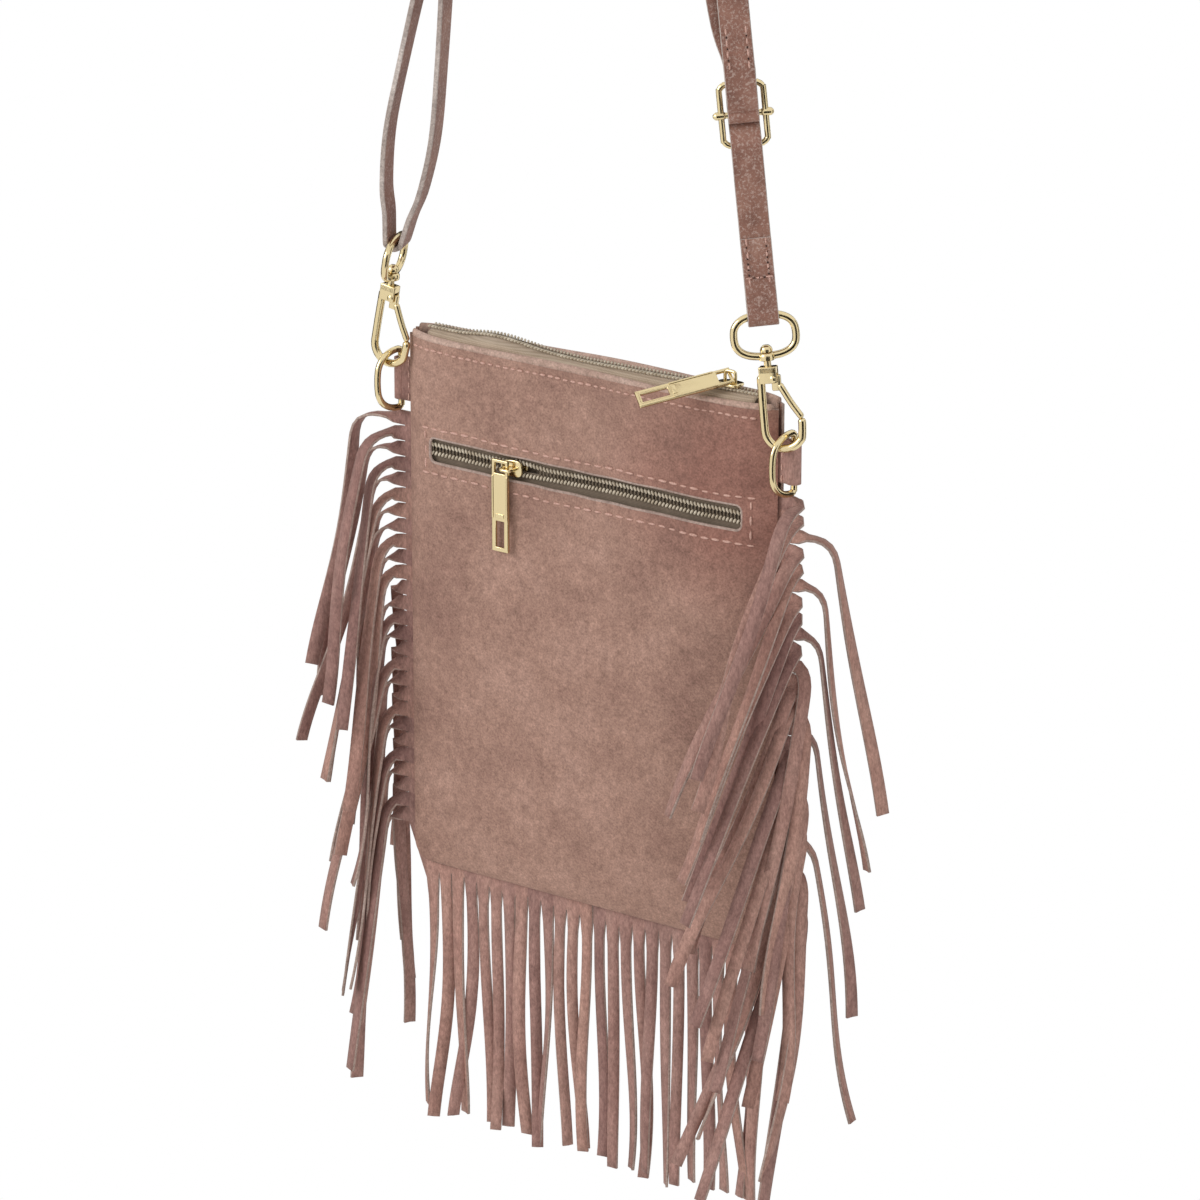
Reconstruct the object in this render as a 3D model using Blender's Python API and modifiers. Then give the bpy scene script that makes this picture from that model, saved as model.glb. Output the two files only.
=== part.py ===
"""A flat suede shoulder bag with cut fringe, two zips and an adjustable strap on swivel hooks.

Metres, +Z up. The front faces -Y. The origin is the point that the strap hangs from.
"""

import math
import random

import bmesh
import bpy
from mathutils import Matrix, Vector

# Bag body
BAG_WIDTH = 0.180
BAG_HEIGHT = 0.226
HEM_DROP = 0.350  # from the hang point down to the top hem
CORNER_RADIUS = 0.008
SUEDE = 0.0012
LINING = 0.0005
TOP_SWELL = 0.0062  # how far a panel stands out of the seam at the hem
BELLY = 0.0090
GAP = 0.0003
BACK_HEM_RISE = 0.0015

# Zips
ZIP_END = 0.010  # from the side seam to the end of the top zip
ZIP_RISE = 0.0037  # top zip above the hem
ROW_WIDTH = 0.0022
ROW_THICK = 0.0014
ROW_GAP = 0.0014
TAPE_THICK = 0.0005
TAPE_WIDTH = 0.0105
TAPE_DOWN = 0.0070  # how far the top zip's tapes reach down inside the hems
TAPE_BEND = 0.0016
TAPE_PAST = 0.002  # pocket tapes past the window's ends
WINDOW_END = 0.0133  # from the side seam to the pocket window
WINDOW_HEIGHT = 0.0106
WINDOW_DROP = 0.0402
POCKET_TAPE_Y = -0.0052
DIVIDER_Y = -0.0003  # behind the pocket, in front of the lining
SLIDER_LENGTH = 0.0105
SLIDER_WIDTH = 0.0074
SLIDER_PLATE = 0.0011
BRIDGE_WIRE = 0.0007
BRIDGE_REACH = 0.0024
TUNNEL = 0.0036  # height under the bridge
PULLER_LENGTH = 0.0385
PULLER_WIDTH = 0.0080
PULLER_THICK = 0.0014
PULLER_SLOT = (0.0042, 0.0110)
PULLER_EYE = (0.0054, 0.0044)
PULLER_BAR = 0.0013
TOP_SLIDER_BACK = 0.014  # from the end of the chain
POCKET_SLIDER_IN = 0.0417  # from the left end of the window
POCKET_DEPTH = 0.120
POCKET_MOUTH = 0.004  # from the lower tape down to the pocket bag's front edge
POCKET_CLOSE = 0.012  # over which the pocket bag closes at its foot
LINING_DROP = 0.008
LINING_LIFT = 0.014  # lining's foot above the bottom seam
LINING_TURN = 0.022  # over which the lining steps back behind the pocket
POCKET_REACH = 0.0092

# Fringe
STRIP_PITCH = 0.0066
STRIP_WIDTH = 0.0060
STRIP_LENGTH = 0.109
SIDE_STRIP_LENGTH = 0.130
HEADER = 0.0045
SEAM_ALLOWANCE = 0.0085
SIDE_FRINGE_DROP = 0.034
REACH = (0.0095, 0.021)  # how far a side strip goes out before it falls: most of them, and the top one
REACH_FADE = 4.0  # strips over which the top one's reach dies away
ARCH = 0.022
TURN_OUT = 0.010
TWIST_OVER = 0.010
# A lane's way out and way leaned, seen from above, its lean, and its roll, in degrees.
# Strips of a lane are parallel, so the lean and the strips between them keep them a hide's thickness apart.
LANES = {
    -1: {"F": (78, 50, 9.0, 8), "M": (14, 10, 8.5, 34), "B": (-46, -60, 7.0, 8)},
    1: {"F": (78, 130, 20.0, 0), "M": (26, 95, 11.0, 22), "O": (-26, -20, 8.0, 12)},
}
LANE_ORDER = {-1: "MFMFMFMMFMFBMFMBFMBFMBFMBFMBFM", 1: "FFOFFOFFOFMFFMOFMFMFMOFMFMFMOF"}
FRINGE_SEED = {-1: 5, 1: 17}

# Tabs, rings and hooks
TAB_WIDTH = 0.018
TAB_REACH = 0.0105
BAR_IN = 0.0040  # from the tab's outer end to the ring's bar
TAB_DROP = 0.0205
RING_WIRE = 0.0014
RING_HEIGHT = 0.0245
RING_DEPTH = 0.0125
RING_CORNER = 0.0018
HOOK_WIRE = 0.0016
GATE_WIRE = 0.0013
NECK = (0.0070, 0.0044, 0.0066)
NECK_Z = 0.031
GATE_HINGE = (0.0020, 0.0294)  # across and up the hook
GATE_PIN = 0.0007
PIN_PLAY = 0.0002
TONGUE = 0.0020
STEM = 0.0014
EYE_WIRE = 0.0015
EYE_HALF_WIDTH = 0.0120
EYE_HALF_HEIGHT = 0.0081
EYE_Z = 0.0464
EYE_FLATNESS = 2.6
KNOB_RADIUS = 0.0024
KNOB_HEIGHT = 0.0026
COLLAR_RADIUS = 0.0032
COLLAR_HEIGHT = 0.0032

# Strap and buckle
STRAP_WIDTH = 0.012
STRAP_THICK = 0.0020
CROWN_RADIUS = 0.045  # inside the strap
SEWN_END = 0.030
BUCKLE_HEIGHT = 0.0235
BUCKLE_WIDTH = 0.0170
BUCKLE_WIRE = 0.0012
BUCKLE_CORNER = 0.003
BUCKLE_KNOB = 0.0022  # how far the centre bar stands out of the frame at each end
BUCKLE_CLIMB = 0.078  # from the right eye up to the buckle's centre bar
LOOP_SPREAD = 0.0095
LOOP_START = 0.150  # above the left eye, where the doubled strap parts

HALF = BAG_WIDTH / 2
ZIP_HALF = HALF - ZIP_END
WINDOW_HALF = HALF - WINDOW_END
TOP_SLIDER_X = ZIP_HALF - TOP_SLIDER_BACK
POCKET_SLIDER_X = POCKET_SLIDER_IN - WINDOW_HALF
HEM_Z = -HEM_DROP
BOTTOM_Z = HEM_Z - BAG_HEIGHT
SEAM_IN = SUEDE / 2 + GAP
UP = Vector((0, 0, 1))
ZIP_Z = HEM_Z + ZIP_RISE
WINDOW_Z = HEM_Z - WINDOW_DROP - WINDOW_HEIGHT / 2
EYE_TOP = EYE_Z + EYE_HALF_HEIGHT
LINE_RADIUS = CROWN_RADIUS + STRAP_THICK + GAP / 2
RING_TOP = HEM_Z - TAB_DROP + RING_HEIGHT / 2
FOOT_Z = RING_TOP - RING_WIRE - 4 * GAP - 2 * HOOK_WIRE

SUEDE_ROSE = ((0.37, 0.22, 0.17), 0.95, 0.0)
STRAP_ROSE = ((0.34, 0.18, 0.13), 0.80, 0.0)
TAPE_TAUPE = ((0.26, 0.19, 0.13), 0.85, 0.0)
COIL_TAUPE = ((0.45, 0.37, 0.27), 0.45, 0.0)
LINING_BEIGE = ((0.40, 0.32, 0.23), 0.90, 0.0)
PALE_GOLD = ((0.83, 0.68, 0.40), 0.18, 1.0)

# Turns seen from above, and the feet of the hooks as they hang in the photo
HOOK_ANGLE = {-1: math.radians(4), 1: math.radians(22)}
EYE_ANGLE = {-1: math.radians(110), 1: math.radians(37)}
RING_ANGLE = {-1: math.radians(258), 1: math.radians(262)}
FOOT_SHIFT = {-1: Vector((0.0125, -0.0066, 0.0)), 1: Vector((0.0034, -0.0078, -0.0013))}


def smooth(t):
    t = min(max(t, 0.0), 1.0)
    return t * t * (3 - 2 * t)


def collection(name):
    made = bpy.data.collections.new(name)
    bpy.context.scene.collection.children.link(made)
    return made


def material(name, look):
    colour, roughness, metallic = look
    made = bpy.data.materials.new(name)
    made.use_nodes = True
    shader = made.node_tree.nodes["Principled BSDF"]
    shader.inputs["Base Color"].default_value = (*colour, 1.0)
    shader.inputs["Roughness"].default_value = roughness
    shader.inputs["Metallic"].default_value = metallic
    return made


def add(name, data, look, place=None):
    """Link a mesh or curve as a named part with its own material."""
    data.materials.append(material(name, look))
    made = bpy.data.objects.new(name, data)
    BAG.objects.link(made)
    if place is not None:
        made.matrix_world = place
    return made


def add_cutter(name, data, place=None):
    made = bpy.data.objects.new(name, data)
    CUTTERS.objects.link(made)
    made.hide_render = True
    made.display_type = "WIRE"
    if place is not None:
        made.matrix_world = place
    return made


def mesh_from(name, work):
    bmesh.ops.recalc_face_normals(work, faces=work.faces)
    data = bpy.data.meshes.new(name)
    work.to_mesh(data)
    work.free()
    return data


def box_mesh(name, size, centre=(0, 0, 0)):
    work = bmesh.new()
    bmesh.ops.create_cube(work, size=1.0, matrix=Matrix.Translation(centre) @ Matrix.Diagonal((*size, 1.0)))
    return mesh_from(name, work)


def rod_mesh(name, radius, start, end, top_radius=None, sides=16):
    """A cylinder or cone from start to end."""
    start = Vector(start)
    axis = Vector(end) - start
    turn = axis.to_track_quat("Z", "Y").to_matrix().to_4x4()
    work = bmesh.new()
    bmesh.ops.create_cone(
        work,
        cap_ends=True,
        segments=sides,
        radius1=radius,
        radius2=radius if top_radius is None else top_radius,
        depth=axis.length,
        matrix=Matrix.Translation(start + axis / 2) @ turn,
    )
    return mesh_from(name, work)


def wire_curve(name, points, radius, closed=False, resolution=2):
    """A round wire along the points, as a bevelled curve with filled caps."""
    data = bpy.data.curves.new(name, "CURVE")
    data.dimensions = "3D"
    data.bevel_depth = radius
    data.bevel_resolution = resolution
    data.use_fill_caps = True
    spline = data.splines.new("POLY")
    spline.points.add(len(points) - 1)
    for point, place in zip(spline.points, points):
        point.co = (*place, 1.0)
    spline.use_cyclic_u = closed
    return data


def as_mesh(name, curve):
    """The mesh of a curve, with its caps welded, ready for a Boolean."""
    holder = bpy.data.objects.new(name, curve)
    bpy.context.scene.collection.objects.link(holder)
    graph = bpy.context.evaluated_depsgraph_get()
    data = bpy.data.meshes.new_from_object(holder.evaluated_get(graph))
    bpy.data.objects.remove(holder)
    work = bmesh.new()
    work.from_mesh(data)
    bmesh.ops.remove_doubles(work, verts=work.verts, dist=0.00002)
    return mesh_from(name, work)


def boolean(target, other, operation):
    change = target.modifiers.new(f"{operation.lower()}_{other.name}", "BOOLEAN")
    change.operation = operation
    change.object = other
    change.solver = "EXACT"


def arc(centre, radius, start, end, steps):
    """Points in the XZ plane from one angle to another, in degrees."""
    found = []
    for step in range(steps + 1):
        angle = math.radians(start + (end - start) * step / steps)
        found.append((centre[0] + radius * math.cos(angle), 0.0, centre[1] + radius * math.sin(angle)))
    return found


def round_power(value):
    """The coordinate of a flattened oval, from a sine or cosine."""
    return math.copysign(abs(value) ** (2 / EYE_FLATNESS), value)


def share_down(z):
    return (HEM_Z - z) / BAG_HEIGHT


def swell(x, z):
    """How far a panel stands out of the seam plane at a place."""
    down = min(max(share_down(z), 0.0), 1.0)
    reach = TOP_SWELL + (BELLY - TOP_SWELL) * smooth((down - 0.28) / 0.32)
    if down > 0.62:
        reach *= math.sqrt(max(0.0, 1 - ((down - 0.62) / 0.38) ** 2))
    power = 10 - 7 * smooth((down - 0.30) / 0.35)
    return reach * (1 - min(1.0, abs(x) / HALF) ** power)


def half_width(z):
    """Half the panel's width at a height, with its round lower corners."""
    short = max(0.0, CORNER_RADIUS - max(z - BOTTOM_Z, 0.0))
    return HALF - CORNER_RADIUS + math.sqrt(CORNER_RADIUS**2 - short**2)


def sheet_object(name, look, columns, rows, place, thick, offset=-1.0):
    """A sheet over a grid of (column, row) shares, given its wall by Solidify."""
    work = bmesh.new()
    bmesh.ops.create_grid(work, x_segments=columns, y_segments=rows, size=0.5)
    for vertex in work.verts:
        vertex.co = place(vertex.co.x + 0.5, vertex.co.y + 0.5)
    made = add(name, mesh_from(name, work), look)
    wall = made.modifiers.new("wall", "SOLIDIFY")
    wall.thickness = thick
    wall.offset = offset
    wall.use_even_offset = True
    return made


def spread(share):
    """Grid columns drawn together towards both sides, where a panel bends most."""
    return 0.5 - 0.5 * math.cos(math.pi * share)


def panel(name, side, top_z):
    def place(across, up):
        z = BOTTOM_Z + (top_z - BOTTOM_Z) * (0.5 * up + 0.5 * spread(up))
        x = half_width(z) * (2 * spread(across) - 1)
        middle = SEAM_IN + SUEDE / 2
        return Vector((x, side * (middle + swell(x, z)), z))

    return sheet_object(name, SUEDE_ROSE, 16, 17, place, SUEDE, offset=0.0)


def window_cutter():
    round_end = WINDOW_HEIGHT * 0.3
    made = add_cutter(
        "pocket_window_cutter",
        box_mesh("pocket_window_cutter", (2 * WINDOW_HALF, 0.02, WINDOW_HEIGHT), (0, -0.008, WINDOW_Z)),
    )
    edge = made.modifiers.new("round_corners", "BEVEL")
    edge.width = round_end
    edge.segments = 2
    edge.limit_method = "ANGLE"
    return made


def pouch(name, half, front_top, back_top, bottom, front_y, back_y, columns=10, rows=9):
    """A pouch closed at its sides and foot and open at its mouth, from two walls that meet."""
    work = bmesh.new()
    rings = []
    for row in range(rows + 1):
        down = row / rows
        ring = []
        for column in range(columns + 1):
            x = half * (2 * spread(column / columns) - 1)
            z = front_top + (bottom - front_top) * down
            ring.append(work.verts.new((x, front_y(x, z), z)))
        for column in range(columns, -1, -1):
            x = half * (2 * spread(column / columns) - 1)
            z = back_top + (bottom - back_top) * down
            ring.append(work.verts.new((x, back_y(x, z), z)))
        rings.append(ring)
    count = len(rings[0])
    for upper, lower in zip(rings, rings[1:]):
        for index in range(count):
            after = (index + 1) % count
            work.faces.new((upper[index], upper[after], lower[after], lower[index]))
    foot = rings[-1]
    for index in range(columns):
        work.faces.new((foot[index], foot[index + 1], foot[count - 2 - index], foot[count - 1 - index]))
    made = add(name, mesh_from(name, work), LINING_BEIGE)
    shell = made.modifiers.new("wall", "SOLIDIFY")
    shell.thickness = LINING
    shell.offset = -1.0
    return made


def make_body():
    front = panel("front_panel", -1, HEM_Z)
    boolean(front, window_cutter(), "DIFFERENCE")
    panel("back_panel", 1, HEM_Z + BACK_HEM_RISE)

    lining_half = HALF - SEAM_ALLOWANCE - 3 * GAP
    pocket_half = lining_half - LINING
    lining_top = HEM_Z - LINING_DROP
    lining_foot = BOTTOM_Z + LINING_LIFT
    inner = SEAM_IN - GAP

    def fade(x, half):
        return 1 - abs(x / half) ** 6

    def lining_front(x, z):
        forward = TOP_SWELL + inner - TAPE_THICK - 2 * GAP
        behind = -DIVIDER_Y - GAP
        level = forward + (behind - forward) * smooth((lining_top - z) / LINING_TURN)
        room = swell(x, z) + inner - TAPE_THICK - 2 * GAP
        return -min(level * fade(x, lining_half * 1.08), room)

    def lining_back(x, z):
        return swell(x, z) + inner

    pouch("lining", lining_half, lining_top, lining_top, lining_foot, lining_front, lining_back)

    pocket_foot = WINDOW_Z - POCKET_DEPTH

    def pocket_front(x, z):
        close = 1 - smooth((pocket_foot + POCKET_CLOSE - z) / POCKET_CLOSE)
        reach = min(0.86 * swell(x, z) + inner - GAP, POCKET_REACH)
        behind = DIVIDER_Y - LINING
        return behind - (reach + behind) * (0.15 + 0.85 * close)

    def pocket_back(x, z):
        return DIVIDER_Y

    pouch(
        "pocket_bag",
        pocket_half,
        WINDOW_Z - TAPE_WIDTH - POCKET_MOUTH,
        WINDOW_Z + TAPE_WIDTH,
        pocket_foot,
        pocket_front,
        pocket_back,
    )


def strip_solid(name, look, fringe_rows):
    """One cut piece of suede: rows of points across each strip, joined along the header."""
    work = bmesh.new()
    before = None
    for left_edge, right_edge in fringe_rows:
        left = [work.verts.new(point) for point in left_edge]
        right = [work.verts.new(point) for point in right_edge]
        for index in range(len(left) - 1):
            work.faces.new((left[index], right[index], right[index + 1], left[index + 1]))
        if before is not None:
            work.faces.new((before[0], left[0], left[1], before[1]))
        before = right
    data = bpy.data.meshes.new(name)
    work.to_mesh(data)
    work.free()
    made = add(name, data, look)
    wall = made.modifiers.new("wall", "SOLIDIFY")
    wall.thickness = SUEDE
    wall.offset = 0.0
    return made


def hanging_strip(root, length, rng, steps=5):
    """Edges of a strip of the foot fringe, which hangs straight with a light bow and twist."""
    lean = rng.uniform(-0.0014, 0.0014)
    bow = rng.uniform(-0.005, 0.003)
    turn = rng.uniform(-0.35, 0.35)
    left = []
    right = []
    flat = SEAM_ALLOWANCE + HEADER
    stations = [0.0, flat] + [flat + (length - flat) * (k + 1) / steps for k in range(steps)]
    for fall in stations:
        t = max(0.0, (fall - flat) / (length - flat))
        centre = root + Vector((lean * t * t, bow * math.sin(t * 2.2) * t, -fall))
        angle = turn * smooth(t * 1.5)
        half = Vector((math.cos(angle), math.sin(angle), 0)) * STRIP_WIDTH / 2
        left.append(centre - half)
        right.append(centre + half)
    return left, right


def side_strip(side, z, length, lane, reach, roll, steps=9):
    """Edges of a strip of the side fringe: out of the seam, over in an arch, then down in its lane.

    A lane says which way its strips go out, which way and how far they lean, and how far they roll.
    """
    way_out, way_leaned, lean, lane_roll = (math.radians(angle) for angle in lane)
    flat = SEAM_ALLOWANCE + HEADER
    out = Vector((side, 0, 0))
    heading = Vector((side * math.cos(way_out), -math.sin(way_out), 0))
    leaned = Vector((side * math.cos(way_leaned), -math.sin(way_leaned), 0))
    final = leaned * math.sin(lean) - UP * math.cos(lean)
    stations = [0.0, flat] + [flat + (length - flat) * ((k + 1) / steps) ** 1.35 for k in range(steps)]
    centre = Vector((side * (HALF - SEAM_ALLOWANCE), 0, z))
    reached = 0.0
    left = []
    right = []
    for station in stations:
        level = out
        direction = out
        while reached < station - 1e-9:
            step = min(0.0015, station - reached)
            beyond = reached + step / 2 - flat
            level = out.lerp(heading, smooth(beyond / TURN_OUT)).normalized()
            fall = smooth((beyond - reach + ARCH / 2) / ARCH)
            direction = (level * (1 - fall) + final * fall).normalized()
            centre = centre + direction * step
            reached += step
        beyond = max(0.0, station - flat)
        twist = smooth(beyond / TWIST_OVER)
        across = Vector((-level.y, level.x, 0)) * side
        width = UP * (1 - twist) + across * twist
        width = (width - direction * width.dot(direction)).normalized()
        turn = (lane_roll + roll) * smooth(beyond / (length - flat) * 2)
        width = width * math.cos(turn) + direction.cross(width) * math.sin(turn)
        left.append(centre + width * STRIP_WIDTH / 2)
        right.append(centre - width * STRIP_WIDTH / 2)
    return left, right


def foot_height(x):
    """Height of the panel's lower edge, which rises at its round corners."""
    beyond = max(0.0, abs(x) - (HALF - CORNER_RADIUS))
    return BOTTOM_Z + CORNER_RADIUS - math.sqrt(max(0.0, CORNER_RADIUS**2 - beyond**2))


def make_fringe():
    """Side strips leave in lanes and the foot's strips hang straight, all from one header on each side."""
    count = int((BAG_HEIGHT - SIDE_FRINGE_DROP - CORNER_RADIUS) / STRIP_PITCH)
    half_count = int((HALF - STRIP_WIDTH / 2) / STRIP_PITCH)
    for label, side in (("left", -1), ("right", 1)):
        rng = random.Random(FRINGE_SEED[side])
        rows = []
        for index in range(count):
            lane = LANES[side][LANE_ORDER[side][index]]
            reach = REACH[0] + (REACH[1] - REACH[0]) * math.exp(-index / REACH_FADE)
            z = HEM_Z - SIDE_FRINGE_DROP - STRIP_PITCH * (index + 0.5)
            length = SIDE_STRIP_LENGTH * rng.uniform(0.95, 1.03) + SEAM_ALLOWANCE + HEADER
            roll = rng.uniform(-0.03, 0.03)
            rows.append(side_strip(side, z, length, lane, reach, roll))
        for index in range(half_count):
            x = side * STRIP_PITCH * (half_count - index - 0.5)
            root = Vector((x, 0, foot_height(x) + SEAM_ALLOWANCE))
            length = STRIP_LENGTH * rng.uniform(0.97, 1.02) + SEAM_ALLOWANCE + HEADER
            edges = hanging_strip(root, length, rng)
            rows.append(edges if side < 0 else (edges[1], edges[0]))
        strip_solid(f"{label}_fringe", SUEDE_ROSE, rows)


def foot_place(side):
    """Where the hook's long axis starts, at the level of the hook's lowest point."""
    out, front, lift = FOOT_SHIFT[side]
    return Vector((side * (HALF + out), front, FOOT_Z + lift))


def tangent_angle(side):
    """The angle on the crown circle where the straight limb of the strap meets it."""
    foot = foot_place(side)
    across = abs(foot.x)
    down = foot.z + CROWN_RADIUS
    distance = math.hypot(across, down)
    return math.atan2(down, across) + math.acos(LINE_RADIUS / distance)


def touch_place(side):
    """Where the straight limb of the strap meets the crown circle."""
    angle = tangent_angle(side)
    foot = foot_place(side)
    z = LINE_RADIUS * math.sin(angle) - CROWN_RADIUS
    return Vector((side * LINE_RADIUS * math.cos(angle), foot.y * z / foot.z, z))


def limb_direction(side):
    return (touch_place(side) - foot_place(side)).normalized()


def hook_frame(side, angle):
    """The matrix of a hook or eye: Z along the limb, X turned to the angle seen from above."""
    along = limb_direction(side)
    across = Vector((math.cos(angle), math.sin(angle), 0))
    across = (across - along * across.dot(along)).normalized()
    depth = along.cross(across)
    turn = Matrix((across, depth, along)).transposed().to_4x4()
    return Matrix.Translation(foot_place(side)) @ turn


def hook_line():
    """The centre line of a hook's body: spine, round bend and tip."""
    points = [(-0.0032, 0, 0.0295), (-0.0035, 0, 0.0180), (-0.0036, 0, 0.0096)]
    points += arc((0.0040, 0.0092), 0.0076, 180, 335, 12)
    points.append((0.0114, 0, 0.0108))
    return points


def gate_line():
    return [(0.0110, 0, 0.0128 + HOOK_WIRE), (0.0078, 0, 0.0195), (0.0043, 0, 0.0262)]


def make_hook(label, side):
    place = hook_frame(side, HOOK_ANGLE[side])
    hook = add(f"{label}_hook", as_mesh(f"{label}_hook", wire_curve(f"{label}_hook", hook_line(), HOOK_WIRE)), PALE_GOLD, place)
    neck = add_cutter(f"{label}_neck", box_mesh("neck", NECK, (0, 0, NECK_Z)), place)
    stem_top = EYE_Z - EYE_HALF_HEIGHT + EYE_WIRE + GAP
    stem = add_cutter(f"{label}_stem", rod_mesh("stem", STEM, (0, 0, NECK_Z), (0, 0, stem_top + 0.001)), place)
    knob = rod_mesh("knob", KNOB_RADIUS, (0, 0, stem_top), (0, 0, stem_top + KNOB_HEIGHT), KNOB_RADIUS * 0.625)
    knob = add_cutter(f"{label}_knob", knob, place)
    for extra in (neck, stem, knob):
        boolean(hook, extra, "UNION")
    ears = add_cutter(
        f"{label}_gate_slot",
        box_mesh("gate_slot", (0.0076, TONGUE + 2 * GAP, 0.0074), (0.0038, 0, NECK_Z - 0.0034)),
        place,
    )
    boolean(hook, ears, "DIFFERENCE")

    across, up = GATE_HINGE
    hinge = place @ Matrix.Translation((across, 0, up))
    line = [(x - across, y, z - up) for x, y, z in gate_line()]
    gate = as_mesh(f"{label}_gate", wire_curve(f"{label}_gate", line, GATE_WIRE))
    gate = add(f"{label}_gate", gate, PALE_GOLD, hinge)
    tongue = add_cutter(f"{label}_tongue", box_mesh("tongue", (0.0036, TONGUE, 0.0062), (0.0008, 0, -0.0017)), hinge)
    boolean(gate, tongue, "UNION")
    for target in (hook, gate):
        bore = rod_mesh("bore", GATE_PIN + PIN_PLAY, (0, -0.004, 0), (0, 0.004, 0), sides=12)
        boolean(target, add_cutter(f"{target.name}_bore", bore, hinge), "DIFFERENCE")
    add(
        f"{label}_gate_rivet",
        rod_mesh("rivet", GATE_PIN, (0, -NECK[1] / 2 - PIN_PLAY, 0), (0, NECK[1] / 2 + PIN_PLAY, 0), sides=12),
        PALE_GOLD,
        hinge,
    )

    place = hook_frame(side, EYE_ANGLE[side])
    oval = []
    for step in range(28):
        angle = 2 * math.pi * step / 28
        across = EYE_HALF_WIDTH * round_power(math.cos(angle))
        oval.append((across, 0, EYE_Z + EYE_HALF_HEIGHT * round_power(math.sin(angle))))
    eye = add(f"{label}_eye", as_mesh(f"{label}_eye", wire_curve("eye", oval, EYE_WIRE, closed=True)), PALE_GOLD, place)
    top = EYE_Z - EYE_HALF_HEIGHT + EYE_WIRE
    collar = rod_mesh("collar", COLLAR_RADIUS, (0, 0, top - COLLAR_HEIGHT), (0, 0, top), 0.0026)
    boolean(eye, add_cutter(f"{label}_collar", collar, place), "UNION")
    bore = rod_mesh("eye_bore", STEM + GAP, (0, 0, top - 0.006), (0, 0, top + 0.004))
    boolean(eye, add_cutter(f"{label}_eye_bore", bore, place), "DIFFERENCE")


def ring_points(bar_length, depth, corner):
    """A D shape in the XZ plane: a straight bar at x 0 and a bow out to x depth."""
    half = bar_length / 2
    points = [(0, 0, -half + corner), (0, 0, half - corner)]
    points += arc((corner, half - corner), corner, 150, 90, 2)
    for step in range(1, 14):
        angle = math.pi / 2 - math.pi * step / 14
        points.append((corner + (depth - corner) * math.cos(angle), 0, half * math.copysign(abs(math.sin(angle)) ** 0.7, math.sin(angle))))
    points += arc((corner, -half + corner), corner, 270, 210, 2)
    return points


def make_tab(label, side):
    """A strip of suede folded round the ring's bar, its two ends held in the side seam."""
    z = HEM_Z - TAB_DROP
    bar = Vector((side * (HALF + TAB_REACH - BAR_IN), 0, z))
    inner = RING_WIRE + GAP + 0.0001
    profile = []
    for step in range(13):
        angle = math.radians(150 - 300 * step / 12)
        profile.append((abs(bar.x) + (inner + SUEDE / 2) * math.cos(angle), (inner + SUEDE / 2) * math.sin(angle)))
    work = bmesh.new()
    route = [(HALF - SEAM_ALLOWANCE, 0.0), (HALF - 0.0001, 0.0)] + profile[:-1]
    edges = []
    for x, y in route:
        low = work.verts.new((side * x, y, z - TAB_WIDTH / 2))
        high = work.verts.new((side * x, y, z + TAB_WIDTH / 2))
        edges.append((low, high))
    for first, second in zip(edges, edges[1:]):
        work.faces.new((first[0], second[0], second[1], first[1]))
    data = bpy.data.meshes.new(f"{label}_tab")
    work.to_mesh(data)
    work.free()
    tab = add(f"{label}_tab", data, SUEDE_ROSE)
    wall = tab.modifiers.new("wall", "SOLIDIFY")
    wall.thickness = SUEDE
    wall.offset = 0.0
    place = Matrix.Translation(bar) @ Matrix.Rotation(RING_ANGLE[side], 4, "Z")
    ring = wire_curve(f"{label}_d_ring", ring_points(RING_HEIGHT, RING_DEPTH, RING_CORNER), RING_WIRE, closed=True)
    add(f"{label}_d_ring", as_mesh(f"{label}_d_ring", ring), PALE_GOLD, place)


def strap_frames():
    """A function from the distance along the strap's line to its place, direction and width direction."""
    starts = {side: foot_place(side) + limb_direction(side) * EYE_TOP for side in (1, -1)}
    angles = {side: tangent_angle(side) for side in (1, -1)}
    touch = {side: touch_place(side) for side in (1, -1)}
    first = (touch[1] - starts[1]).length
    sweep = math.pi - angles[1] - angles[-1]
    middle = LINE_RADIUS * sweep
    last = (touch[-1] - starts[-1]).length
    total = first + middle + last

    def at(distance):
        if distance <= first:
            place = starts[1] + (touch[1] - starts[1]).normalized() * distance
            along = (touch[1] - starts[1]).normalized()
        elif distance >= first + middle:
            beyond = distance - first - middle
            along = (starts[-1] - touch[-1]).normalized()
            place = touch[-1] + along * beyond
        else:
            share = (distance - first) / middle
            angle = angles[1] + sweep * share
            x = LINE_RADIUS * math.cos(angle)
            z = LINE_RADIUS * math.sin(angle) - CROWN_RADIUS
            y = touch[1].y * (1 - share) + touch[-1].y * share
            place = Vector((x, y, z))
            along = Vector((-math.sin(angle), 0, math.cos(angle)))
        turned = EYE_ANGLE[1] + (math.pi / 2 - EYE_ANGLE[1]) * smooth((distance - 0.11) / (first - 0.11))
        turned += (EYE_ANGLE[-1] - math.pi / 2) * smooth((distance - first - middle) / (last * 0.8))
        width = Vector((math.cos(turned), math.sin(turned), 0))
        width = (width - along * width.dot(along)).normalized()
        return place, along, width, width.cross(along)

    return at, total, (first, first + middle)


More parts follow.
